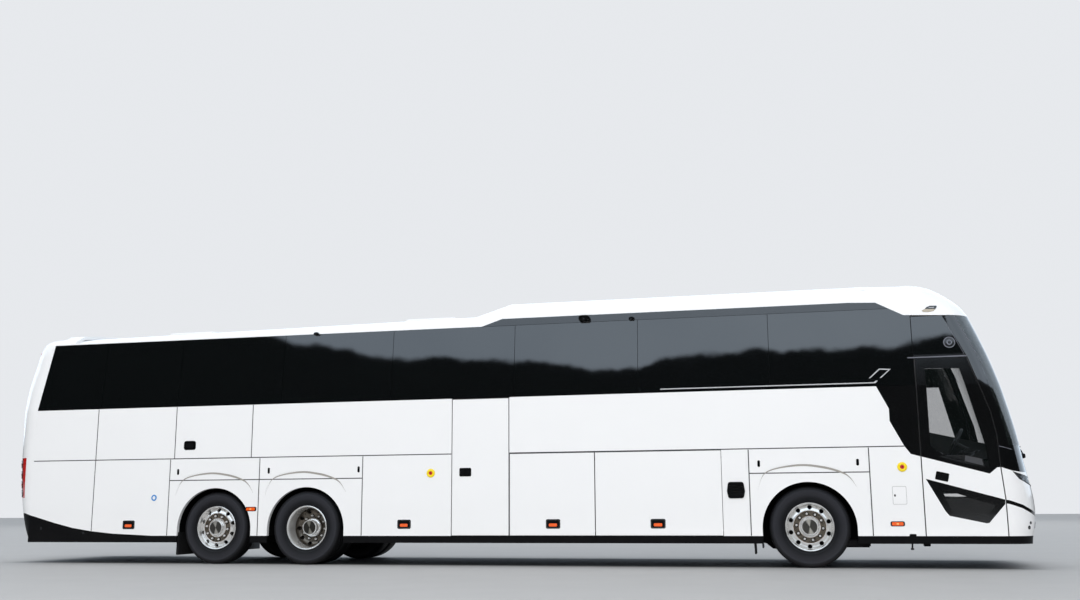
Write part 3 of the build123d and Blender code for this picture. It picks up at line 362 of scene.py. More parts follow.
class Mesh:
    """Corners and faces gathered from several simple forms before one object is made."""

    def __init__(self):
        self.verts, self.faces = [], []

    def take(self, verts, faces):
        start = len(self.verts)
        self.verts += [Vector(v) for v in verts]
        self.faces += [tuple(i + start for i in face) for face in faces]
        return self

    def box(self, lo, hi):
        x0, y0, z0 = lo
        x1, y1, z1 = hi
        verts = [(x, y, z) for x in (x0, x1) for y in (y0, y1) for z in (z0, z1)]
        faces = [(0, 1, 3, 2), (4, 6, 7, 5), (0, 4, 5, 1), (2, 3, 7, 6), (0, 2, 6, 4), (1, 5, 7, 3)]
        return self.take(verts, faces)

    def lathe(self, points, at, side=1, count=48):
        """A profile of (radius, outward distance) turned about a line along Y."""
        verts, faces = [], []
        for i in range(count):
            a = 2 * math.pi * i / count
            c, s = math.cos(a), math.sin(a)
            verts += [(at[0] + r * c, at[1] + side * w, at[2] + r * s) for r, w in points]
        n = len(points)
        for i in range(count):
            j = (i + 1) % count
            faces += [(i * n + k, i * n + k + 1, j * n + k + 1, j * n + k) for k in range(n - 1)]
        return self.take(verts, faces)

    def plate(self, outline, y0, y1):
        """A side-view outline (x, z) given thickness along Y."""
        return self.take([(x, y, z) for y in (y0, y1) for x, z in outline], slab_faces(len(outline)))

    def tube(self, path, radius, count=10):
        """A round bar along a path."""
        path = [Vector(p) for p in path]
        verts, faces = [], []
        last = len(path) - 1
        for i, p in enumerate(path):
            ahead = (path[min(i + 1, last)] - path[max(i - 1, 0)]).normalized()
            side = ahead.orthogonal() if i == 0 else (side - ahead * side.dot(ahead))
            side.normalize()
            other = ahead.cross(side)
            for k in range(count):
                a = 2 * math.pi * k / count
                verts.append(p + (side * math.cos(a) + other * math.sin(a)) * radius)
        for i in range(last):
            for k in range(count):
                m = (k + 1) % count
                faces.append((i * count + k, i * count + m, (i + 1) * count + m, (i + 1) * count + k))
        faces += [tuple(range(count)), tuple(last * count + k for k in reversed(range(count)))]
        return self.take(verts, faces)

    def make(self, name, mat, body=HULL, **how):
        return add(name, self.verts, self.faces, mat, body, **how)


def rounded(x0, x1, z0, z1, r, steps=5):
    """A rounded rectangle in the side view."""
    points = []
    corners = ((x1 - r, z1 - r, 0), (x0 + r, z1 - r, 90), (x0 + r, z0 + r, 180), (x1 - r, z0 + r, 270))
    for cx, cz, start in corners:
        for i in range(steps + 1):
            a = math.radians(start + 90 * i / steps)
            points.append((cx + r * math.cos(a), cz + r * math.sin(a)))
    return points


def pad(wide, high, r):
    return rounded(-wide, wide, -high, high, r)


def tilted(points, x, z, angle):
    """Side-view points turned about a centre."""
    c, s = math.cos(math.radians(angle)), math.sin(math.radians(angle))
    return [(x + px * c - pz * s, z + px * s + pz * c) for px, pz in points]


def from_axle(points):
    """Side-view points that are given from the steered axle."""
    return [(STEER + x, z) for x, z in points]


def disc(radius, out=0.004):
    return [(0.0, out), (radius * 0.75, out), (radius * 0.93, out * 0.6), (radius, -0.004)]


def ring(inner, outer, out):
    step = (outer - inner) * 0.3
    face = [(inner, out * 0.7), (inner + step, out), (outer - step, out), (outer, out * 0.5)]
    return [(inner, -0.002)] + face + [(outer, -0.004)]


def surface(*names):
    """A ray target made of CAD nodes."""
    verts, faces = [], []
    for name in names:
        mesh = NODES[name].data
        start = len(verts)
        verts += [v.co.copy() for v in mesh.vertices]
        faces += [tuple(start + i for i in p.vertices) for p in mesh.polygons]
    return BVHTree.FromPolygons(verts, faces)


def lean(z):
    """How far the side above the belt leans in at height z."""
    return max(0.0, z - BELT) * LEAN_IN / LEAN_HIGH


def sight(px, py):
    """Where a point of the photograph's frame looks: an origin and a direction."""
    place = bpy.context.scene.camera.matrix_world
    ahead = place.to_3x3() @ Vector(((px - PICTURE[0] / 2) / FOCAL, (PICTURE[1] / 2 - py) / FOCAL, -1))
    return place.translation.copy(), ahead.normalized()


def on_plane(px, py, y):
    """The point of an upright lengthwise plane seen at a point of the frame."""
    start, ahead = sight(px, py)
    return start + ahead * ((y - start.y) / ahead.y)


def turned_to(normal, profile, at, count):
    """A round form whose axis follows a direction."""
    turn = Vector((0, 1, 0)).rotation_difference(normal).to_matrix()
    part = Mesh().lathe(profile, (0, 0, 0), 1, count)
    part.verts = [at + turn @ v for v in part.verts]
    return part


def turned_at(name, tree, start, ahead, profile, mat, body=HULL, side=-1, lift=0.0):
    """A round piece set square on the skin that a ray meets, mirrored to the left where side is 1."""
    at, normal = tree.ray_cast(start, ahead)[:2]
    if normal.dot(ahead) > 0:
        normal = -normal
    if side > 0:
        at, normal = Vector((at.x, -at.y, at.z)), Vector((normal.x, -normal.y, normal.z))
    return turned_to(normal, profile, at + normal * lift, 32).make(name, mat, body, smooth=35)


def fitted(name, tree, outline, mat, body=HULL, out=0.004, into=0.006, hand=-1, bevel=0.0):
    """A thin piece whose face follows the skin behind a side-view outline."""
    ys = [tree.ray_cast(Vector((x, hand * 3, z)), Vector((0, -hand, 0)))[0].y for x, z in outline]
    verts = [(x, y + hand * step, z) for step in (out, -into) for y, (x, z) in zip(ys, outline)]
    return add(name, verts, slab_faces(len(outline)), mat, body, bevel=bevel)


def facing(name, tree, outline, mat, body=HULL, out=0.004, into=0.006, end=1, bevel=0.0):
    """The same for an outline (y, z) seen from the front or the rear end."""
    xs = [tree.ray_cast(Vector((end * 9, y, z)), -end * ALONG)[0].x for y, z in outline]
    verts = [(x + end * step, y, z) for step in (out, -into) for x, (y, z) in zip(xs, outline)]
    return add(name, verts, slab_faces(len(outline)), mat, body, bevel=bevel)


# CAD nodes and their finishes
FINISH = {
    "body_paint": PAINT, "black_gloss": GLOSS, "black_plastic": PLASTIC, "window_glass": GLASS,
    "lamp_lens": LENS, "rear_lens": RED, "tyre": RUBBER, "alloy": ALLOY, "chassis": CHASSIS,
    "floor": FLOORING, "seat_fabric": FABRIC,
}


def dress_nodes():
    slots = {part["node"]: part["material_slot"] for part in frame["record"]["subparts"]}
    for name, obj in NODES.items():
        obj.data.materials.clear()
        obj.data.materials.append(FINISH[slots[name]])
        obj.data.shade_smooth()
        obj.data.set_sharp_from_angle(angle=math.radians(28))
    for name in ("windscreen", "front_door_glass"):
        NODES[name].data.materials[0] = CAB_GLASS


# Joints between the panels: place, foot and top, then both ends and height
SEAM_UPRIGHT = (
    (TAG - 2.003, 0.4, BELT), (TAG - 0.685, 1.5, BELT), (TAG + 0.553, 1.5, BELT), (TAG - 0.747, 0.4, 1.5),
    (TAG + 0.693, 0.4, 1.5), (DRIVE + 0.851, 0.4, 1.5), (STEER - 0.731, 0.4, 1.5), (STEER + 0.769, 0.4, 1.5),
)
SEAM_LEVEL = (
    (REAR + 0.475, STEER - 4.77, 1.5), (STEER - 3.94, STEER + 1.204, 1.5),
    (TAG - 0.747, DRIVE + 0.851, 1.185), (STEER - 0.731, STEER + 0.769, 1.185),
)
SEAM_DEPTH = (0.0075, 0.004)
# The crease over each wheel arch, from the wheel's centre, drawn as a strip of painted shade
CREASE = (
    (-0.636, 0.964), (-0.511, 1.212), (-0.116, 1.301), (0.193, 1.275), (0.424, 1.206), (0.526, 1.132),
    (0.606, 1.001),
)
CREASE_DROP = 0.027


def spline_through(points, steps=8):
    """A smooth run of points through a few."""
    pts = [Vector(p) for p in points]
    pts = [pts[0] * 2 - pts[1]] + pts + [pts[-1] * 2 - pts[-2]]
    run = []
    for a, b, c, d in zip(pts, pts[1:], pts[2:], pts[3:]):
        for i in range(steps):
            t = i / steps
            run.append(((b * 2) + (c - a) * t + (a * 2 - b * 5 + c * 4 - d) * t * t
                        + (b * 3 - a - c * 3 + d) * t * t * t) * 0.5)
    return run + [pts[-2]]


def seams():
    for hand, tag in HANDS:
        strips = Mesh()
        y0, y1 = sorted(hand * (SIDE - depth) for depth in SEAM_DEPTH)
        for x, z0, z1 in SEAM_UPRIGHT:
            strips.box((x - 0.0065, y0, z0 + 0.004), (x + 0.0065, y1, z1 - 0.004))
        for x0, x1, z in SEAM_LEVEL:
            strips.box((x0 + 0.002, y0, z + 0.0005), (x1 - 0.002, y1, z + 0.0135))
        strips.make(f"panel_seams_{tag}", GAP)
        # A strip of painted shade along the crease over each arch, widest at its middle
        edges = Mesh()
        for x in (STEER, DRIVE, TAG):
            run = spline_through(CREASE)
            n = len(run)
            drops = [CREASE_DROP * math.sin(math.pi * i / (n - 1)) ** 1.1 for i in range(n)]
            verts = [(x + p.x, hand * (SIDE + 0.0008), p.y - 0.002) for p in run]
            verts += [(x + p.x, hand * (SIDE + 0.0014), p.y - 0.003 - drop) for p, drop in zip(run, drops)]
            edges.take(verts, [(i, i + 1, n + i + 1, n + i) for i in range(n - 1)])
        edges.make(f"arch_crease_shades_{tag}", CREASE_SHADE)


# Small pieces on the side, with x from the steered axle
FLAPS = {
    "right": {-3.335: "luggage_flap_right_rear", -1.926: "luggage_flap_right_front"},
    "left": {
        -5.447: "luggage_flap_left_rear", -3.335: "luggage_flap_left_middle",
        -1.926: "luggage_flap_left_front",
    },
}
MARKERS, LOCKS = (-9.740, -5.447, -3.335, -1.926), (-8.973, -7.520, -6.138, -0.603, 0.628)
SIDE_LAMPS, STOPS = ((-7.779, 0.775), (1.067, 0.549)), (-5.067, 1.163)
# Part, height, half width, half height, corner radius, material, how far it stands out
MARKER_PARTS = (
    ("base", 0.557, 0.098, 0.062, 0.02, GLOSS, 0.006), ("frame", 0.557, 0.08, 0.045, 0.014, PLASTIC, 0.009),
    ("lens", 0.543, 0.056, 0.02, 0.012, AMBER, 0.014),
)
# Part, half width, half height, corner radius, material, how far it stands out
LAMP_PARTS = (
    ("base", 0.086, 0.031, 0.02, GLOSS, 0.005), ("lens", 0.068, 0.021, 0.012, AMBER, 0.013),
    ("spot", 0.016, 0.012, 0.008, PALE_AMBER, 0.0145),
)
# Part, material, steps round, profile of (radius, outward distance)
STOP_PARTS = (
    ("ring", YELLOW, 40,
     ((0.026, 0.002), (0.026, 0.012), (0.032, 0.016), (0.05, 0.015), (0.059, 0.009), (0.061, -0.004))),
    ("button", BUTTON, 40,
     ((0.0, 0.014), (0.012, 0.0135), (0.021, 0.011), (0.0262, 0.004), (0.0262, -0.004))),
    ("centre", GLOSS, 20, ((0.0, 0.0175), (0.006, 0.017), (0.009, 0.013))),
)
CHARGE_AT = (-9.347, 0.944)
CHARGE_PARTS = (
    ("ring", BLUE, 40, ((0.024, 0.001), (0.026, 0.006), (0.042, 0.006), (0.046, -0.002))),
    ("centre", PAINT, 24, ((0.0, 0.003), (0.02, 0.003), (0.0245, 0.001))),
)
# Name, x, height, half width, half height, corner radius, material, body, how far it stands out, bevel, tilt
RIGHT_PADS = (
    ("upper_handle", -8.802, 1.698, 0.097, 0.066, 0.035, GLOSS, HULL, 0.008, 0.004, 0),
    ("upper_handle_cup", -8.802, 1.698, 0.065, 0.036, 0.02, PLASTIC, HULL, 0.012, 0.004, 0),
    ("middle_door_lock", -4.567, 1.256, 0.085, 0.058, 0.018, GLOSS, "middle_door", 0.006, 0.002, 0),
    ("middle_door_grip", -4.605, 1.256, 0.03, 0.035, 0.008, PLASTIC, "middle_door", 0.011, 0.002, 0),
    ("middle_door_key", -4.53, 1.256, 0.03, 0.035, 0.01, PLASTIC, "middle_door", 0.009, 0.002, 0),
    ("front_door_lock", 1.63, 1.125, 0.078, 0.052, 0.014, GLOSS, "front_door", 0.006, 0.002, -13),
    ("front_door_grip", 1.60, 1.131, 0.022, 0.032, 0.006, PLASTIC, "front_door", 0.011, 0.002, -13),
    ("front_door_key", 1.655, 1.119, 0.026, 0.032, 0.006, PLASTIC, "front_door", 0.009, 0.002, -13),
    ("service_flap_key", 1.055, 0.897, 0.01, 0.014, 0.0095, GLOSS, HULL, 0.004, 0.002, 0),
)
VENT_AT = (-0.905, 0.985)
VENT = (
    (-0.115, -0.02), (-0.1, 0.085), (-0.085, 0.1), (0.085, 0.1), (0.1, 0.085), (0.115, -0.02), (0.1, -0.095),
    (0.085, -0.108), (-0.085, -0.108), (-0.1, -0.095),
)
# Strip under the windows, the slanted frame at its end and the rail over the door glass
STRIP = ((-1.863, 2.309), (0.905, 2.309), (0.935, 2.343), (0.91, 2.343), (0.885, 2.325), (-1.85, 2.325))
FRAME_OUT = ((0.797, 2.352), (0.958, 2.497), (1.102, 2.488), (0.951, 2.352))
FRAME_IN = ((0.829, 2.364), (0.964, 2.484), (1.073, 2.477), (0.944, 2.364))
DOOR_RAIL = ((1.312, 2.616), (2.028, 2.616), (2.034, 2.636), (1.312, 2.632))
# Small cameras on the roof edge: x, height and size
EDGE_CAMERAS = ((-6.880, 3.281, 0.8), (-2.887, 3.321, 1.5), (-2.232, 3.297, 0.8))
CAMERA_BODY = (
    (-0.05, 0.018), (-0.035, 0.035), (0.035, 0.035), (0.05, 0.018), (0.045, -0.018), (-0.045, -0.018),
)


def on_side(name, x, z, outline, mat, body=HULL, out=0.004, into=0.006, bevel=0.002, hand=-1, tilt=0.0):
    """A flat piece set on the side skin at x from the steered axle."""
    points = tilted(outline, STEER + x, z, tilt)
    face = SIDE - lean(z)
    return Mesh().plate(points, hand * (face + out), hand * (face - into)).make(name, mat, body, bevel=bevel)


def round_on_side(name, x, z, profile, mat, hand=-1, count=40):
    at = (STEER + x, hand * (SIDE - lean(z)), z)
    return Mesh().lathe(profile, at, hand, count).make(name, mat, smooth=35)


def strip_on_side(name, outline, z, out, into, mat, hand, **how):
    """A plate on the leaning glass, seated for height z."""
    face = SIDE - lean(z)
    Mesh().plate(from_axle(outline), hand * (face + out), hand * (face - into)).make(name, mat, **how)


def side_lamps(hand, tag):
    for i, x in enumerate(MARKERS):
        body = FLAPS[tag].get(x, HULL)
        for part, z, wide, high, r, mat, out in MARKER_PARTS:
            on_side(f"marker_{part}_{tag}_{i}", x, z, pad(wide, high, r), mat, body, out=out, hand=hand)
    # The left side has no lamp ahead of the front wheel
    for i, (x, z) in enumerate(SIDE_LAMPS if hand < 0 else SIDE_LAMPS[:1]):
        for part, wide, high, r, mat, out in LAMP_PARTS:
            on_side(f"side_lamp_{part}_{tag}_{i}", x, z, pad(wide, high, r), mat, out=out, hand=hand)
    lock = pad(0.017, 0.043, 0.0165)
    for i, x in enumerate(LOCKS):
        on_side(f"panel_lock_{tag}_{i}", x, 1.315, lock, GLOSS, out=0.005, hand=hand, bevel=0.003)


def right_side():
    for i, x in enumerate(STOPS):
        for part, mat, count, profile in STOP_PARTS:
            round_on_side(f"stop_{part}_{i}", x, 1.249, profile, mat, count=count)
    for part, mat, count, profile in CHARGE_PARTS:
        round_on_side(f"charge_{part}", *CHARGE_AT, profile, mat, count=count)
    x, z = VENT_AT
    on_side("side_vent", x, z, VENT, PLASTIC, out=0.022, bevel=0.008)
    rib = pad(0.092, 0.011, 0.008)
    for i in range(4):
        level = z + 0.062 - i * 0.042
        on_side(f"side_vent_rib_{i}", x, level, rib, GLOSS, out=0.028, into=-0.015, bevel=0.004)
    for name, x, z, wide, high, r, mat, body, out, bevel, tilt in RIGHT_PADS:
        on_side(name, x, z, pad(wide, high, r), mat, body, out=out, bevel=bevel, tilt=tilt)
    # Service flap outlined in the paint
    rim = rounded(1.026, 1.196, 0.786, 1.010, 0.016)
    core = rounded(1.031, 1.191, 0.791, 1.005, 0.012)
    edge = Mesh().take([(x, -SIDE - 0.0012, z) for x, z in from_axle(rim + core)], slab_faces(len(rim))[2:])
    edge.make("service_flap_edge", PALE_GAP)


def window_trim(hand, tag):
    strip_on_side(f"belt_strip_{tag}", STRIP, 2.33, 0.002, 0.012, SATIN, hand, bevel=0.0015)
    loop = Mesh()
    for i in range(4):
        j = (i + 1) % 4
        quad = (FRAME_OUT[i], FRAME_OUT[j], FRAME_IN[j], FRAME_IN[i])
        loop.plate(from_axle(quad), hand * (SIDE - lean(2.42) + 0.004), hand * (SIDE - lean(2.42) - 0.012))
    loop.make(f"belt_frame_{tag}", SATIN)
    strip_on_side(f"door_rail_{tag}", DOOR_RAIL, 2.62, 0.003, 0.02, RAIL, hand, bevel=0.003)
    for i, (x, z, s) in enumerate(EDGE_CAMERAS):
        y = SIDE - lean(z)
        body = Mesh().plate(from_axle((x + px * s, pz * s + z) for px, pz in CAMERA_BODY),
                            hand * (y - 0.02), hand * min(SIDE, y + 0.055 * s))
        body.make(f"edge_camera_{tag}_{i}", GLOSS, bevel=0.008)
        eye = [(0, 0.058 * s), (0.008, 0.056 * s), (0.012, 0.05 * s)]
        round_on_side(f"edge_camera_lens_{tag}_{i}", x, z, eye, GLASS, hand=hand, count=20)


# Wheels: profiles of (radius, outward distance)
SINGLE_RIM = (
    (0.0, 0.120), (0.080, 0.120), (0.098, 0.122), (0.112, 0.112), (0.118, 0.100), (0.136, 0.098),
    (0.140, 0.090), (0.200, 0.090), (0.203, 0.098), (0.209, 0.102), (0.222, 0.100), (0.246, 0.090),
    (0.262, 0.076), (0.271, 0.064), (0.277, 0.068), (0.280, 0.098), (0.286, 0.122), (0.293, 0.133),
    (0.300, 0.135), (0.306, 0.130), (0.306, 0.122), (0.292, 0.116), (0.291, -0.118), (0.306, -0.124),
    (0.306, -0.130), (0.280, -0.130), (0.276, -0.110), (0.272, 0.020), (0.250, 0.056), (0.215, 0.074),
    (0.200, 0.074), (0.2, -0.07), (0.0, -0.07),
)
TWIN_RIM = (
    (0.0, 0.118), (0.110, 0.118), (0.124, 0.110), (0.132, 0.090), (0.134, 0.034), (0.140, 0.028),
    (0.205, 0.028), (0.222, 0.032), (0.243, 0.046), (0.262, 0.066), (0.271, 0.090), (0.274, 0.150),
    (0.277, 0.262), (0.283, 0.286), (0.291, 0.298), (0.300, 0.300), (0.306, 0.295), (0.306, 0.288),
    (0.292, 0.282), (0.291, 0.046), (0.306, 0.040), (0.306, -0.040), (0.291, -0.046), (0.291, -0.282),
    (0.306, -0.288), (0.306, -0.296), (0.280, -0.296), (0.274, -0.060), (0.240, -0.020), (0.205, 0.004),
    (0.2, -0.014), (0.2, -0.2), (0.0, -0.2),
)
HALF_TYRE = [
    (0.292, 0.108), (0.300, 0.113), (0.310, 0.124), (0.319, 0.131), (0.3235, 0.1335), (0.328, 0.132),
    (0.340, 0.138), (0.344, 0.1405), (0.3485, 0.139), (0.379, 0.1455), (0.4155, 0.1472), (0.447, 0.146),
    (0.453, 0.1475), (0.4595, 0.1455), (0.4785, 0.142), (0.489, 0.1385), (0.498, 0.131), (0.505, 0.120),
    (0.508, 0.108), (0.5095, 0.094), (0.4975, 0.092), (0.4975, 0.084), (0.5105, 0.082), (0.5118, 0.045),
    (0.4975, 0.043), (0.4975, 0.035), (0.512, 0.033), (0.512, 0.0),
]
TYRE_PROFILE = HALF_TYRE + [(r, -w) for r, w in reversed(HALF_TYRE[:-1])] + HALF_TYRE[:1]
# Hand holes, the shaded part of the dish, plane of the nuts, hub cap, tyres, inner face and valve
SINGLE = {
    "rim": SINGLE_RIM, "hole": 0.0285, "hole_ring": 0.247, "hole_span": (0.0, 0.14), "hole_turn": 16,
    "shade": HUB_BROWN, "shaded": (0.135, 0.204, 0.12), "nuts": 0.090, "cap_foot": 0.120, "cap": 0.034,
    "tyres": (0.0,), "inner": 0.1335, "valve": 0.078,
}
TWIN = {
    "rim": TWIN_RIM, "hole": 0.029, "hole_ring": 0.232, "hole_span": (-0.06, 0.12), "hole_turn": 3,
    "shade": DISH_BROWN, "shaded": (0.13, 0.268, 0.088), "nuts": 0.028, "cap_foot": 0.118, "cap": 0.085,
    "tyres": (-0.166, 0.166), "inner": 0.2995, "valve": 0.1,
}
NUT_RING = 0.1665


def boolean(obj, cutter):
    mod = obj.modifiers.new("cut", "BOOLEAN")
    mod.object = cutter
    mod.operation = "DIFFERENCE"
    mod.solver = "EXACT"
    depsgraph = bpy.context.evaluated_depsgraph_get()
    cut = bpy.data.meshes.new_from_object(obj.evaluated_get(depsgraph))
    obj.modifiers.clear()
    old, obj.data = obj.data, cut
    bpy.data.meshes.remove(old)
    bpy.data.objects.remove(cutter)


def ring_of(count, radius, start):
    for i in range(count):
        a = math.radians(start) + 2 * math.pi * i / count
        yield radius * math.cos(a), radius * math.sin(a), a


def nuts(mesh, washers, at, side, plane):
    """Ten wheel nuts with their stud ends, on washers coloured near black as painted shade round each nut.
    """
    for dx, dz, a in ring_of(10, NUT_RING, 29):
        x, y, z = at[0] + dx, at[1] + side * plane, at[2] + dz
        washers.lathe([(0.0, 0.007), (0.024, 0.006), (0.0265, 0.0)], (x, y, z), side, 18)
        verts = []
        turns = [a + k * math.pi / 3 for k in range(6)]
        for w, r in ((0.004, 0.0175), (0.026, 0.0175), (0.033, 0.012)):
            verts += [(x + r * math.cos(t), y + side * w, z + r * math.sin(t)) for t in turns]
        rows = [
            (i * 6 + k, i * 6 + (k + 1) % 6, (i + 1) * 6 + (k + 1) % 6, (i + 1) * 6 + k)
            for i in (0, 1) for k in range(6)
        ]
        mesh.take(verts, rows + [tuple(range(12, 18))])
        mesh.lathe([(0.0, 0.044), (0.008, 0.043), (0.0095, 0.04), (0.0095, 0.03)], (x, y, z), side, 12)


def rim_face(name, kind, at, side, body):
    """The rim with its hand holes cut out and the shaded part of its dish."""
    rim = Mesh().lathe(kind["rim"], at, side, 96).make(name, ALLOY, body, smooth=32)
    holes = Mesh()
    r, (w0, w1) = kind["hole"], kind["hole_span"]
    for dx, dz, _ in ring_of(10, kind["hole_ring"], kind["hole_turn"]):
        holes.lathe([(0.0, w0), (r, w0), (r, w1), (0.0, w1)], (at[0] + dx, at[1], at[2] + dz), side, 24)
    boolean(rim, holes.make("hole_cutter", ALLOY, ride=False))
    rim.data.materials.append(kind["shade"])
    near, far, depth = kind["shaded"]
    for face in rim.data.polygons:
        r = math.hypot(face.center.x - at.x, face.center.z - at.z)
        face.material_index = int(near < r < far and 0 < side * (face.center.y - at.y) < depth)
    rim.data.shade_smooth()
    rim.data.set_sharp_from_angle(angle=math.radians(32))
    return rim


def wheel(place, hand, side, kind, tyre_node):
    at = centre(tyre_node)
    body, rim_node = f"{place}_wheel_{hand}", f"{place}_rim_{hand}"

    def turned(part, profile, mat, count=64):
        Mesh().lathe(profile, at, side, count).make(f"{place}_{part}_{hand}", mat, body, smooth=35)

    rim = rim_face(f"{place}_rim_face_{hand}", kind, at, side, body)
    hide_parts(rim_node)
    fixings, washers = Mesh(), Mesh()
    nuts(fixings, washers, at, side, kind["nuts"])
    washers.make(f"{place}_nut_washers_{hand}", NUT_SHADE_WASHER, body, smooth=35)
    fixings.make(f"{place}_nuts_{hand}", NUT, body, smooth=35)
    if kind is SINGLE:
        edges = Mesh()
        for r, w in ((0.1365, 0.097), (0.2035, 0.0975)):
            bead = [(r - 0.0022, w - 0.003), (r - 0.0012, w + 0.0018)]
            bead += [(r + 0.0012, w + 0.0018), (r + 0.0022, w - 0.003)]
            edges.lathe(bead, at, side, 72)
        edges.make(f"{place}_copper_edges_{hand}", COPPER, body, smooth=60)
    foot, top = kind["cap_foot"], kind["cap_foot"] + kind["cap"]
    cap = [(0.108, foot - 0.01), (0.106, top - 0.004), (0.102, top), (0.094, top), (0.0915, top - 0.005)]
    turned("hub_ring", cap, ALLOY)
    # Hub face with painted highlight lobes
    turned("hub_face", [(0.092, top - 0.004), (0.0, top - 0.003)], BRUSHED_WITH_PAINTED_GLINT[place])
    rubber = Mesh()
    for off in kind["tyres"]:
        rubber.lathe(TYRE_PROFILE, (at[0], at[1] + off, at[2]), 1, 120)
    tyre = rubber.make(f"{place}_tread_{hand}", TYRES[place], body, smooth=30)
    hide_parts(tyre_node)
    # Brake drum that closes the inner side
    w = -kind["inner"]
    drum = [(0.0, w + 0.034), (0.24, w + 0.034), (0.27, w + 0.02), (0.281, w), (0.3, w - 0.001)]
    turned("drum", drum + [(0.3075, w + 0.0035)], CHASSIS, 48)
    x, z = at[0] + 0.262 * math.cos(1.2), at[2] + 0.262 * math.sin(1.2)
    stem = [(x, at[1] + side * (kind["valve"] + w), z) for w in (0, 0.035)]
    Mesh().tube(stem, 0.005).make(f"{place}_valve_{hand}", STEEL, body, smooth=40)


def wheels():
    for side, hand in HANDS:
        for place in ("front", "tag"):
            wheel(place, hand, side, SINGLE, f"{place}_tyre_{hand}")
        wheel("drive", hand, side, TWIN, f"drive_tyres_{hand}")


# Inside
SEAT_DECK = 1.54
SEAT_PITCH = 0.805
SEAT_FIRST, SEAT_LAST = STEER + 0.88 - 0.7, REAR + 0.9
# The stairwell of the middle door, where the right side has no seats
STAIRS = (STEER - 4.77 - 0.56, STEER - 3.94 + 0.08)


def pillow(mesh, at, size, tilt=0.0, cuts=5):
    """A crowned cushion: a rounded block whose faces swell and whose corners pull in."""
    power, crown = 4.5, 0.12
    bm = bmesh.new()
    bmesh.ops.create_cube(bm, size=2)
    bmesh.ops.subdivide_edges(bm, edges=bm.edges, cuts=cuts, use_grid_fill=True)
    verts = []
    c, s = math.cos(math.radians(tilt)), math.sin(math.radians(tilt))
    for v in bm.verts:
        x, y, z = v.co
        k = (abs(x) ** power + abs(y) ** power + abs(z) ** power) ** (-1 / power)
        swell = 1 + crown * (1 - y * y) * (1 - min(x * x, 1))
        x, y, z = x * k * size[0] / 2, y * k * size[1] / 2, z * k * size[2] / 2
        if size[2] < size[0]:
            z *= swell
        if size[0] < size[2]:
            x *= 1 + crown * (1 - (y * 2 / size[1]) ** 2) * (1 - (z * 2 / size[2]) ** 2)
        verts.append((at[0] + x * c + z * s, at[1] + y, at[2] + z * c - x * s))
    bm.verts.index_update()
    mesh.take(verts, [tuple(v.index for v in f.verts) for f in bm.faces])
    bm.free()


def passenger_seats():
    cushions, backs, rests, shells, legs = Mesh(), Mesh(), Mesh(), Mesh(), Mesh()
    cuts = 4
    for side in (-1, 1):
        x = SEAT_FIRST
        while x > SEAT_LAST:
            if side > 0 or not STAIRS[0] < x < STAIRS[1]:
                for y in (0.49, 0.93):
                    pillow(cushions, (x + 0.31, side * y, SEAT_DECK + 0.41), (0.44, 0.42, 0.13), cuts=cuts)
                    pillow(backs, (x + 0.075, side * y, SEAT_DECK + 0.78), (0.11, 0.42, 0.66), -8.4, cuts)
                    pillow(rests, (x + 0.02, side * y, SEAT_DECK + 1.06), (0.1, 0.26, 0.16), -8.4, 2)
                for mesh, outline, y0, y1 in (
                    (shells, ((0.02, 0.36), (0.055, 0.36), (-0.045, 1.09), (-0.075, 1.05)), 0.28, 1.14),
                    (shells, ((0.12, 0.6), (0.4, 0.6), (0.42, 0.63), (0.12, 0.64)), 0.262, 0.29),
                    (legs, ((0.14, 0), (0.34, 0), (0.3, 0.35), (0.18, 0.35)), 0.6, 0.66),
                    (legs, ((0.12, 0.31), (0.48, 0.31), (0.48, 0.35), (0.05, 0.35)), 0.3, 1.12),
                ):
                    mesh.plate([(x + px, SEAT_DECK + pz) for px, pz in outline], side * y0, side * y1)
            x -= SEAT_PITCH
    a = cushions.make("seat_cushions", FABRIC, smooth=60)
    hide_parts("passenger_seats")
    b = backs.make("seat_backs", FABRIC, smooth=60)
    c = rests.make("seat_headrests", LEATHER, smooth=60)
    shells.make("seat_shells", DASH, bevel=0.006)
    legs.make("seat_frames", CHASSIS, bevel=0.004)


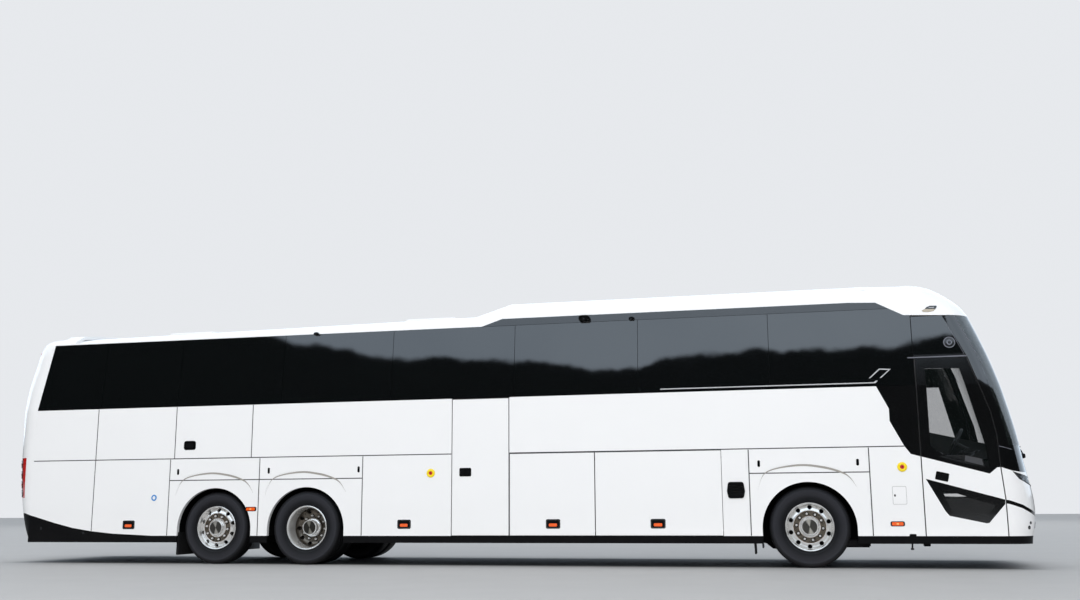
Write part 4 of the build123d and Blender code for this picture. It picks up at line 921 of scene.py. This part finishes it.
def driver_place():
    line = ((2.10, 1.02), (2.36, 1.02), (2.40, 1.36), (2.33, 1.46), (2.2, 1.50), (2.12, 1.44), (2.08, 1.2))
    piece = Mesh().plate(from_axle(line), -0.42, 0.98).make("dashboard", DASH, bevel=0.03, smooth=50)
    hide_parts("driver_station")
    hood = ((2.06, 1.47), (2.16, 1.56), (2.3, 1.53), (2.34, 1.46), (2.14, 1.46))
    Mesh().plate(from_axle(hood), 0.36, 0.84).make("instrument_hood", DASH, bevel=0.02, smooth=50)
    # Steering wheel, tilted back towards the driver
    at, turn = Vector((STEER + 2.02, 0.6, 1.62)), Matrix.Rotation(math.radians(-62), 3, "Y")

    def spot(r, a, up=0):
        return at + turn @ Vector((r * math.cos(a), r * math.sin(a), up))

    rim = Mesh().tube([spot(0.225, 2 * math.pi * i / 48) for i in range(49)], 0.014, 12)
    rim.make("steering_rim", LEATHER, smooth=50)
    spokes = Mesh()
    for a in (0.25, math.pi - 0.25, -math.pi / 2):
        spokes.tube([spot(0, 0, 0.01), spot(0.22, a)], 0.014, 8)
    spokes.tube([spot(0, 0, 0.02), spot(0, 0, -0.22)], 0.035, 16)
    hub = [spot(0.06, 2 * math.pi * i / 24, 0.03) for i in range(24)]
    low = [p - turn @ Vector((0, 0, 0.04)) for p in hub]
    spokes.take(hub + low, slab_faces(24)[:1] + slab_faces(24)[2:])
    spokes.make("steering_spokes", DASH, smooth=40)
    soft = Mesh()
    pillow(soft, (STEER + 1.65, 0.6, 1.452), (0.4, 0.5, 0.1))
    pillow(soft, (STEER + 1.435, 0.6, 1.83), (0.11, 0.5, 0.64), -6)
    pillow(soft, (STEER + 1.4, 0.6, 2.175), (0.09, 0.28, 0.13), -6, 3)
    seat = soft.make("driver_seat_pads", FABRIC, smooth=60)
    base = Mesh()
    for x0, x1, y0, y1, z0, z1 in (
        (1.5, 1.86, 0.42, 0.78, 1.01, 1.1),
        (1.55, 1.8, 0.48, 0.72, 1.1, 1.38),
        (1.46, 1.92, 0.36, 0.84, 1.36, 1.41),
    ):
        base.box((STEER + x0, y0, z0), (STEER + x1, y1, z1))
    base.make("driver_seat_base", DASH, bevel=0.015)


# The front
# Headlamp cups by their place in the lamp and radius, corner lamps and the foot of the screen in the frame
LAMP_CUPS = ((0.93, 0.62, 0.026), (0.83, 0.6, 0.024))
CORNER_LAMPS = ((1030.7, 522.7, 0.019), (1029.3, 527.5, 0.024))
SCREEN_FOOT = ((999.0, 446.0), (1003.0, 446.9), (1010.0, 448.9), (1017.0, 450.9))


def lamp_units():
    """The insides of the headlamps: a dark case and two round reflectors."""
    mesh = NODES["headlamps"].data
    inward = [v.co - v.normal * 0.012 for v in mesh.vertices]
    case = Mesh().take(inward, [tuple(p.vertices) for p in mesh.polygons])
    case.make("lamp_cases", LAMP_CASE, smooth=35)
    cover = surface("headlamps")
    lo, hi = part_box("headlamps")
    for side, tag in HANDS:
        for i, (y, z, r) in enumerate(LAMP_CUPS):
            start = Vector((hi.x + 0.6, -hi.y * y, lo.z + (hi.z - lo.z) * z))
            cup = [(0, -0.03), (r * 0.4, -0.027), (r * 0.75, -0.018), (r, -0.002)]
            cup += [(r + 0.003, -0.001), (r + 0.005, -0.006)]
            bulb = [(0.0, -0.006), (r * 0.3, -0.009), (r * 0.42, -0.018)]
            for part, profile, mat in (("reflector", cup, WIRE), ("bulb", bulb, GLASS)):
                name = f"lamp_{part}_{tag}_{i}"
                turned_at(name, cover, start, -ALONG, profile, mat, side=side, lift=-0.006)


def nose():
    skin = surface("front_bumper", "front_frame", "windscreen", "side_trims", "headlamps")
    # Small round lamps low on the corners
    for side, tag in HANDS:
        for i, (px, py, r) in enumerate(CORNER_LAMPS):
            at = sight(px, py)
            turned_at(f"corner_lamp_rim_{tag}_{i}", skin, *at, ring(r * 0.72, r, 0.004), GLOSS, side=side)
            turned_at(f"corner_lamp_{tag}_{i}", skin, *at, disc(r * 0.75, 0.003), GLOSS, side=side)
    # Number plate left blank, its holder, covers for the towing eyes and fog lamps
    facing("front_plate_holder", skin, rounded(-0.275, 0.275, 0.50, 0.625, 0.012), PLASTIC)
    facing("front_plate", skin, rounded(-0.26, 0.26, 0.508, 0.617, 0.008), PLATE, out=0.006)
    for side, tag in HANDS:
        for name, y, half, z0, z1, r, mat, out, into, bevel in (
            ("tow_cover", 0.62, 0.05, 0.5, 0.6, 0.012, PAINT, 0.003, 0.004, 0.0015),
            ("fog_bezel", 0.9, 0.1, 0.485, 0.565, 0.025, GLOSS, 0.005, 0.006, 0.003),
            ("fog_lens", 0.9, 0.082, 0.5, 0.55, 0.018, LED, 0.007, 0.006, 0.002),
        ):
            outline = rounded(side * y - half, side * y + half, z0, z1, r)
            facing(f"{name}_{tag}", skin, outline, mat, out=out, into=into, bevel=bevel)
    screen = surface("windscreen", "front_frame")
    # The pale line where the screen ends on the corner
    hits = [screen.ray_cast(*sight(px, py))[0] for px, py in SCREEN_FOOT]
    for side, tag in HANDS:
        line = [Vector((p.x, -side * p.y, p.z)) for p in hits]
        Mesh().tube(line, 0.0045, 6).make(f"screen_foot_line_{tag}", RAIL, smooth=60)
    wipers(screen)


def wipers(screen):
    """Two arms that lie along the foot of the screen."""
    for i, (y0, y1) in enumerate(((-0.78, 0.1), (0.2, 0.95))):
        def along(t, z, off):
            at, normal = screen.ray_cast(Vector((9, y0 + (y1 - y0) * t, z)), -ALONG)[:2]
            return at + (normal if normal.x > 0 else -normal) * off

        pivot = along(0, 1.38, 0.012)
        profile = [(0.032, -0.012), (0.032, 0.012), (0.024, 0.03), (0.0, 0.034)]
        mount = turned_to(Vector((1, 0, 0.1)).normalized(), profile, pivot, 24)
        mount.make(f"wiper_pivot_{i}", PLASTIC, smooth=40)
        path = [pivot + Vector((0.02, 0, 0))]
        path += [along(t, 1.38 + 0.11 * min(1, t * 2.2), 0.026) for t in (0.12, 0.3, 0.5, 0.62)]
        Mesh().tube(path, 0.009, 10).make(f"wiper_arm_{i}", PLASTIC, smooth=50)
        blade = Mesh().tube([along(t, 1.5, 0.012) for t in (0.1, 0.25, 0.4, 0.55, 0.7, 0.85, 1.0)], 0.008, 8)
        blade.tube([along(t, 1.502, 0.022) for t in (0.3, 0.42, 0.55, 0.68, 0.8)], 0.006, 8)
        blade.make(f"wiper_blade_{i}", GAP, smooth=50)


def arch_liners():
    """Dark sheets that close the inner side of each pair of wheel arches."""
    top = (
        (-0.68, 0.31), (-0.68, 0.8), (-0.5, 1.02), (-0.25, 1.13), (0.25, 1.13), (0.5, 1.02), (0.68, 0.8),
        (0.68, 0.3), (0.4, 0.3),
    )
    feet = {"front": ((-0.3, 0.2), (-0.5, 0.215), (-0.58, 0.28))}
    for x, place in ((STEER, "front"), (DRIVE, "drive"), (TAG, "tag")):
        outline = [(x + px, z) for px, z in top + feet.get(place, ((-0.3, 0.3),))]
        for hand, tag in HANDS:
            Mesh().plate(outline, hand * 0.43, hand * 0.45).make(f"arch_liner_{place}_{tag}", PLASTIC)


# The front edge of the front door's opening, from the steered axle
DOOR_EDGE = ((2.024, 2.639), (2.255, 1.918), (2.308, 1.627), (2.325, 1.202), (2.352, 0.822), (2.356, 0.42))
SEAL_BACK, SEAL_FACE = SIDE - 0.0565, SIDE - 0.0495


def door_seals():
    """Rubber strips on the body behind the gaps round the door leaves."""
    rear_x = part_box("front_door")[0].x - 0.007
    seal = Mesh()
    for (x0, z0), (x1, z1) in zip(DOOR_EDGE, DOOR_EDGE[1:]):
        quad = ((x0 - 0.022, z0), (x0 + 0.02, z0), (x1 + 0.02, z1), (x1 - 0.022, z1))
        seal.plate(from_axle(quad), -SEAL_FACE, -SEAL_BACK)
    seal.box((rear_x - 0.02, -SEAL_FACE, 0.42), (rear_x + 0.022, -SEAL_BACK, 2.62))
    seal.box((rear_x - 0.02, -SEAL_FACE, 2.60), (STEER + 2.03, -SEAL_BACK, 2.645))
    seal.make("front_door_seal", GAP)
    lo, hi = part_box("middle_door")
    seal = Mesh()
    for x in (lo.x - 0.007, hi.x + 0.007):
        seal.box((x - 0.022, -SEAL_FACE, 0.42), (x + 0.022, -SEAL_BACK, hi.z + 0.02))
    seal.box((lo.x, -SEAL_FACE, hi.z - 0.015), (hi.x, -SEAL_BACK, hi.z + 0.028))
    seal.make("middle_door_seal", GAP)


# What shows through the dark lower panes of the front door, as points of the frame
DOOR_VIEWS = (
    ("kerb_pane", SMOKED, 0.0016,
     ((945.4, 498.6), (966.0, 497.2), (995.6, 505.2), (986.5, 517.0), (953.5, 513.4))),
    ("kerb_step_edge", PALE_GAP, 0.002,
     ((943.6, 493.8), (957.0, 493.6), (966.5, 496.4), (957.0, 496.8), (945.0, 496.3))),
    ("door_lower_pane", SMOKED, 0.0016,
     ((938.6, 456.2), (947.5, 455.0), (966.0, 454.8), (983.0, 458.6), (984.5, 467.0), (963.5, 463.2))),
    ("door_lower_view", DASH, 0.0024, ((965.3, 455.3), (981.9, 458.8), (983.6, 465.6), (964.7, 460.9))),
)
DRIVER_SILL = ((920.0, 430.6), (928.8, 432.5), (986.5, 444.0), (992.0, 445.1))


def door_views():
    trim = surface("front_door_trim", "front_door", "front_door_glass")
    for name, mat, out, points in DOOR_VIEWS:
        outline = [(p.x, p.z) for p in (on_plane(px, py, -SIDE) for px, py in points)]
        fitted(name, trim, outline, mat, "front_door", out=out, into=0.002)
    # The sill of the driver's window, seen through the door glass
    outline = [(p.x, p.z) for p in (on_plane(px, py, 1.2) for px, py in DRIVER_SILL)]
    outline += [(outline[-1][0], 1.05), (outline[0][0], 1.05)]
    Mesh().plate(outline, 1.165, 1.2).make("driver_window_sill", DASH, bevel=0.008)


# Marker lamps on the cap, with x from the steered axle: how far they stand out, depth, bevel, outline
CAP_MARKERS = (
    ("top", GLOSS, 0.012, 0.02, 0.003,
     ((1.578, 3.24), (1.6, 3.262), (1.634, 3.273), (1.705, 3.273), (1.71, 3.262), (1.694, 3.236))),
    ("foot", BEIGE, 0.009, 0.02, 0.003,
     ((1.542, 3.222), (1.578, 3.239), (1.694, 3.235), (1.672, 3.212), (1.619, 3.201), (1.56, 3.206))),
)
CAP_EYE = ((1.615, 3.268), (1.622, 3.275), (1.688, 3.275), (1.683, 3.268))
# The pale lines on the pillar and the round vent of the side glass, as points of the frame
PILLAR_LINES = (((941.0, 314.5), (964.0, 353.7)), ((953.6, 315.4), (981.3, 362.3)))
VENT_RING = (949.2, 342.3)


def cap_details():
    skin = surface(
        "side_trims", "side_glass", "front_frame", "windscreen", "front_door_trim", "front_door_glass")
    for i, ends in enumerate(PILLAR_LINES):
        hits = [skin.ray_cast(*sight(*[a + (b - a) * k / 6 for a, b in zip(*ends)]))[0] for k in range(7)]
        for hand, tag in HANDS:
            line = [Vector((p.x, -hand * p.y, p.z)) for p in hits if p is not None]
            Mesh().tube(line, 0.0032, 6).make(f"pillar_line_{tag}_{i}", RAIL, smooth=60)
    skin, pane, at = surface("front_cap", "roof_front"), surface("side_glass"), sight(*VENT_RING)
    for hand, tag in HANDS:
        for part, mat, out, into, bevel, points in CAP_MARKERS:
            # Enlarged about the lamp's middle and raised
            points = from_axle((1.63 + (x - 1.63) * 1.15, 3.253 + (z - 3.237) * 1.12) for x, z in points)
            name = f"cap_marker_{part}_{tag}"
            fitted(name, skin, points, mat, hand=hand, out=out, into=into, bevel=bevel)
        fitted(f"cap_marker_eye_{tag}", skin, from_axle(CAP_EYE), SATIN, hand=hand, out=0.0135, into=0.002)
        # The round ventilation ring in the side glass
        turned_at(f"side_glass_ring_{tag}", pane, *at, ring(0.06, 0.072, 0.005), RAIL, side=hand)
        turned_at(f"side_glass_cup_{tag}", pane, *at, disc(0.061, 0.003), SMOKED, side=hand)
        turned_at(f"side_glass_eye_{tag}", pane, *at, ring(0.02, 0.033, 0.006), RING_GREY, side=hand)


# The crown for each distance from the middle: height and end of the roof, height and place of the front edge
CROWN = (
    (0.0, 3.722, 5.45, 3.6, 6.22), (0.2, 3.7175, 5.45, 3.6, 6.22), (0.4, 3.704, 5.45, 3.597, 6.22),
    (0.55, 3.688, 5.4, 3.598, 6.19), (0.7, 3.668, 5.35, 3.597, 6.15), (0.8, 3.651, 5.3, 3.599, 6.1),
    (0.9, 3.632, 5.2, 3.6, 6.05), (0.95, 3.618, 5.15, 3.602, 6.01), (1.0, 3.596, 5.15, 3.596, 6.0),
    (1.02, 3.5845, 5.15, 3.5845, 5.98), (1.045, 3.5685, 5.15, 3.5685, 5.95),
)


def roof_crown():
    """A thin panel that closes the crown of the cap, from the roof down to the edge above the screen."""
    rows = [(-y, *rest) for y, *rest in reversed(CROWN[1:])] + list(CROWN)
    steps = 14
    top = []
    for y, z0, x0, z1, x1 in rows:
        for i in range(steps + 1):
            t = i / steps
            z = z0 + (z1 - z0) * t * t * (3 - 2 * t) + min(0.0, z1 - z0) * 1.05 * (t ** 3 - t ** 2)
            top.append((x0 + (x1 - x0) * t, y, z + 0.0014))
    low = [(x, y, z - 0.008) for x, y, z in top]
    n, wide, high = len(top), steps + 1, len(rows)
    faces = []
    for j in range(high - 1):
        for a in range(j * wide, j * wide + steps):
            quad = (a, a + 1, a + 1 + wide, a + wide)
            faces += [quad, tuple(k + n for k in reversed(quad))]
    edge = list(range(wide)) + [j * wide + steps for j in range(1, high)]
    edge += [(high - 1) * wide + i for i in reversed(range(steps))]
    edge += [j * wide for j in reversed(range(1, high - 1))]
    faces += [(a, b, b + n, a + n) for a, b in zip(edge, edge[1:] + edge[:1])]
    add("roof_crown", top + low, faces, PAINT, smooth=25)


# Mud flaps, with x from the steered axle, and both edges across the body
MUD_FLAPS = (
    ("rear", ((-8.952, 0.45), (-8.935, 0.45), (-8.925, 0.128), (-8.942, 0.127)), 0.72, 1.24),
    ("front", ((-0.71, 0.45), (-0.693, 0.45), (-0.683, 0.17), (-0.70, 0.168)), 0.9, 1.2),
)
# Blocks below the skirt: two corners in the frame, their plane, depth and bevel
HANGING = (
    ("skirt_step_bracket", (845, 540), (871, 547.5), -1.18, 0.3, 0.015),
    ("skirt_valve_block", (909.6, 534.0), (916.8, 537.5), -1.282, 0.05, 0.006),
    ("skirt_drain_block", (924, 543), (931, 546.5), -1.2, 0.1, 0.006),
)
# The drain rod: its foot and top in the frame
DRAIN_ENDS, DRAIN_PLANE = ((912.5, 549), (912.5, 537)), -1.2
SIDE_SENSORS = ((41, 528.5), (83, 533.0))


def under_body():
    """Flaps, brackets and valves that hang below the skirts."""
    for hand, tag in HANDS:
        for place, outline, y0, y1 in MUD_FLAPS:
            flap = Mesh().plate(from_axle(outline), hand * y0, hand * y1)
            flap.make(f"mud_flap_{place}_{tag}", RUBBER, bevel=0.003)
    for name, first, second, y, depth, bevel in HANGING:
        a, b = on_plane(*first, y), on_plane(*second, y)
        Mesh().box((a.x, y, b.z), (b.x, y + depth, a.z)).make(name, PLASTIC, bevel=bevel)
    foot, top = (on_plane(*point, DRAIN_PLANE) for point in DRAIN_ENDS)
    Mesh().tube([top, foot], 0.011).make("skirt_drain_rod", CHASSIS, smooth=50)
    nub = Vector((0.02, 0.02, 0.012))
    Mesh().box(foot - nub, foot + nub).make("skirt_drain_foot", CHASSIS, bevel=0.006)
    skin = surface("rear_bumper", "rear_cap", "side_wall_right", "skirts")
    for i, (px, py) in enumerate(SIDE_SENSORS):
        at = sight(px, py)
        for side, tag in HANDS:
            turned_at(f"side_sensor_{tag}_{i}", skin, *at, ring(0.012, 0.017, 0.003), GLOSS, side=side)


# The rear: lamps by height, then plates by name, edges, corner radius, material, depth, bevel and body
REAR_LAMPS = ((1.47, RED), (1.31, RED), (1.16, AMBER), (1.03, LED))
REAR_PLATES = (
    ("rear_plate_holder", -0.28, 0.28, 0.60, 0.725, 0.012, GLOSS, 0.006, 0.002, HULL),
    ("rear_plate", -0.26, 0.26, 0.608, 0.717, 0.008, PLATE, 0.009, 0, HULL),
    ("high_brake_lamp", -0.3, 0.3, 3.155, 3.185, 0.014, RED, 0.008, 0.002, HULL),
    ("rear_camera", -0.035, 0.035, 3.27, 3.32, 0.012, GLOSS, 0.03, 0.006, HULL),
    ("lid_grip", -0.09, 0.09, 0.83, 0.87, 0.018, GLOSS, 0.008, 0.003, "engine_lid"),
)


def tail():
    skin = surface("rear_cap", "rear_bumper", "engine_lid", "rear_lamps", "rear_window")
    glow = [(0.0, 0.012), (0.02, 0.011), (0.04, 0.007), (0.053, -0.002)]
    for side, tag in HANDS:
        for i, (z, inner) in enumerate(REAR_LAMPS):
            start = Vector((-9, side * 1.155, z))
            turned_at(f"rear_lamp_rim_{tag}_{i}", skin, start, ALONG, ring(0.052, 0.062, 0.008), GLOSS)
            turned_at(f"rear_lamp_lens_{tag}_{i}", skin, start, ALONG, glow, inner)
        for name, y, z0, z1, r, out in (
            ("rear_reflector", 0.95, 0.56, 0.6, 0.01, 0.006),
            ("high_marker", 0.98, 3.17, 3.21, 0.018, 0.01),
        ):
            outline = rounded(side * y - 0.06, side * y + 0.06, z0, z1, r)
            facing(f"{name}_{tag}", skin, outline, RED, out=out, end=-1)
        for i, y in enumerate((0.35, 0.75)):
            start = Vector((-9, side * y, 0.5))
            turned_at(f"rear_sensor_{tag}_{i}", skin, start, ALONG, disc(0.014, 0.002), GLOSS)
        start = Vector((-9, side * 0.55, 0.85))
        turned_at(f"lid_lock_{tag}", skin, start, ALONG, disc(0.018), GLOSS, "engine_lid")
    for name, y0, y1, z0, z1, r, mat, out, bevel, body in REAR_PLATES:
        facing(name, skin, rounded(y0, y1, z0, z1, r), mat, body, out=out, end=-1, bevel=bevel)
    path = [(REAR + 0.9, 0.75, 0.38), (REAR + 0.5, 0.77, 0.35), (REAR + 0.3, 0.78, 0.33)]
    Mesh().tube(path, 0.05, 24).make("exhaust_tail", DARK_ALLOY, smooth=50)


# Light, floor and surroundings: each lamp's name, place, aim, size and power
LAMPS = (
    ("key", (6, -26, 9), (0, 0, 1.5), 14, 4300),
    ("fill", (-14, -16, 9), (-3, 0, 1), 10, 550),
    ("back", (-8, 40, 15), (0, 0, 1.5), 20, 4600),
)
AIR, BACKDROP, SHADE_TONE = (0.84, 0.87, 0.92, 1), (0.84, 0.86, 0.89, 1), (0.03, 0.03, 0.031, 1)
TREES, CLEAR_SKY, CLOUD = (0.014, 0.018, 0.016, 1), (0.75, 0.95, 1.2, 1), (1.9, 2.15, 2.4, 1)


def surroundings():
    world = bpy.data.worlds.new("studio")
    bpy.context.scene.world = world
    world.use_nodes = True
    nodes = Nodes(world.node_tree)
    at = nodes.place("Generated")
    axes = nodes.axes(at)
    # Soft light that grows from the ground up
    strength = nodes.span(axes["Z"], 0, 0.45, 0.12, 0.78, "SMOOTHSTEP")
    back = nodes.fill(nodes.tree.nodes["Background"], {"Color": AIR, "Strength": strength})
    pale = nodes.put("Background", {"Color": BACKDROP, "Strength": 0.95})
    # What shiny surfaces show: dark trees with a ragged top edge below a pale, faintly clouded sky
    lifts = [nodes.sum("MULTIPLY_ADD", nodes.noise(at, scale, 6), amount, -amount / 2)
             for scale, amount in ((5.0, 0.05), (26.0, 0.022))]
    level = nodes.sum("ADD", axes["Z"], nodes.sum("ADD", *lifts))
    # The trees stand high on the near side and low on the far side
    crown = nodes.span(axes["Y"], -0.2, 0.2, 0.301, 0.05)
    level = nodes.sum("ADD", level, nodes.span(axes["X"], -0.14, 0.05, 0, -0.018))
    height = nodes.span(nodes.sum("SUBTRACT", level, crown), 0, 0.006, blend="SMOOTHSTEP")
    air = nodes.mix(nodes.noise(at, 2.4, 4), CLEAR_SKY, CLOUD)
    seen = nodes.put("Background", {"Color": nodes.mix(height, TREES, air)})
    path = nodes.put("LightPath", {}).outputs
    shown = {"Fac": path["Is Glossy Ray"], 1: back.outputs["Background"], 2: seen.outputs["Background"]}
    first = nodes.put("MixShader", shown).outputs["Shader"]
    shown = {"Fac": path["Is Camera Ray"], 1: first, 2: pale.outputs["Background"]}
    second = nodes.put("MixShader", shown).outputs["Shader"]
    nodes.fill(nodes.tree.nodes["World Output"], {"Surface": second})


def studio_floor():
    ground = shader("studio_floor", (0.47, 0.462, 0.45), 0.8, 0, 0, 1.5, 0.06, 0.2, 60)
    nodes = Nodes(ground.node_tree)
    axes = nodes.axes(nodes.place())
    middle, half = (cad_box[0][0] + cad_box[1][0]) / 2, (cad_box[1][0] - cad_box[0][0]) / 2
    # Painted shadow: the ground darkens under the coach
    fades = []
    for axis, centre_line, inner, outer in (("X", middle, half - 0.7, half + 0.15), ("Y", 0.0, 0.85, 1.32)):
        away = nodes.sum("ABSOLUTE", nodes.sum("SUBTRACT", axes[axis], centre_line))
        fades.append(nodes.span(away, inner, outer, blend="SMOOTHSTEP"))
    nodes.paint(nodes.mix(nodes.sum("MAXIMUM", *fades), SHADE_TONE, nodes.feed("Base Color")))
    floor = Mesh().take([(-80, -80, 0), (80, -80, 0), (80, 80, 0), (-80, 80, 0)], [(0, 1, 2, 3)])
    obj = floor.make("studio_floor", ground, ride=False)


def lamps():
    for name, at, aim, size, power in LAMPS:
        data = bpy.data.lights.new(name, "AREA")
        data.shape = "SQUARE"
        data.size = size
        data.energy = power
        lamp = bpy.data.objects.new(name, data)
        lamp.location = at
        lamp.rotation_euler = (Vector(aim) - Vector(at)).to_track_quat("-Z", "Y").to_euler()
        lamp.visible_glossy = False
        bpy.context.scene.collection.objects.link(lamp)


bpy.context.scene.view_settings.view_transform = "Standard"
make_camera()
surroundings()
studio_floor()
lamps()
dress_nodes()
seams()
for hand, tag in HANDS:
    side_lamps(hand, tag)
    window_trim(hand, tag)
right_side()
wheels()
passenger_seats()
driver_place()
lamp_units()
nose()
arch_liners()
door_seals()
door_views()
cap_details()
roof_crown()
under_body()
tail()
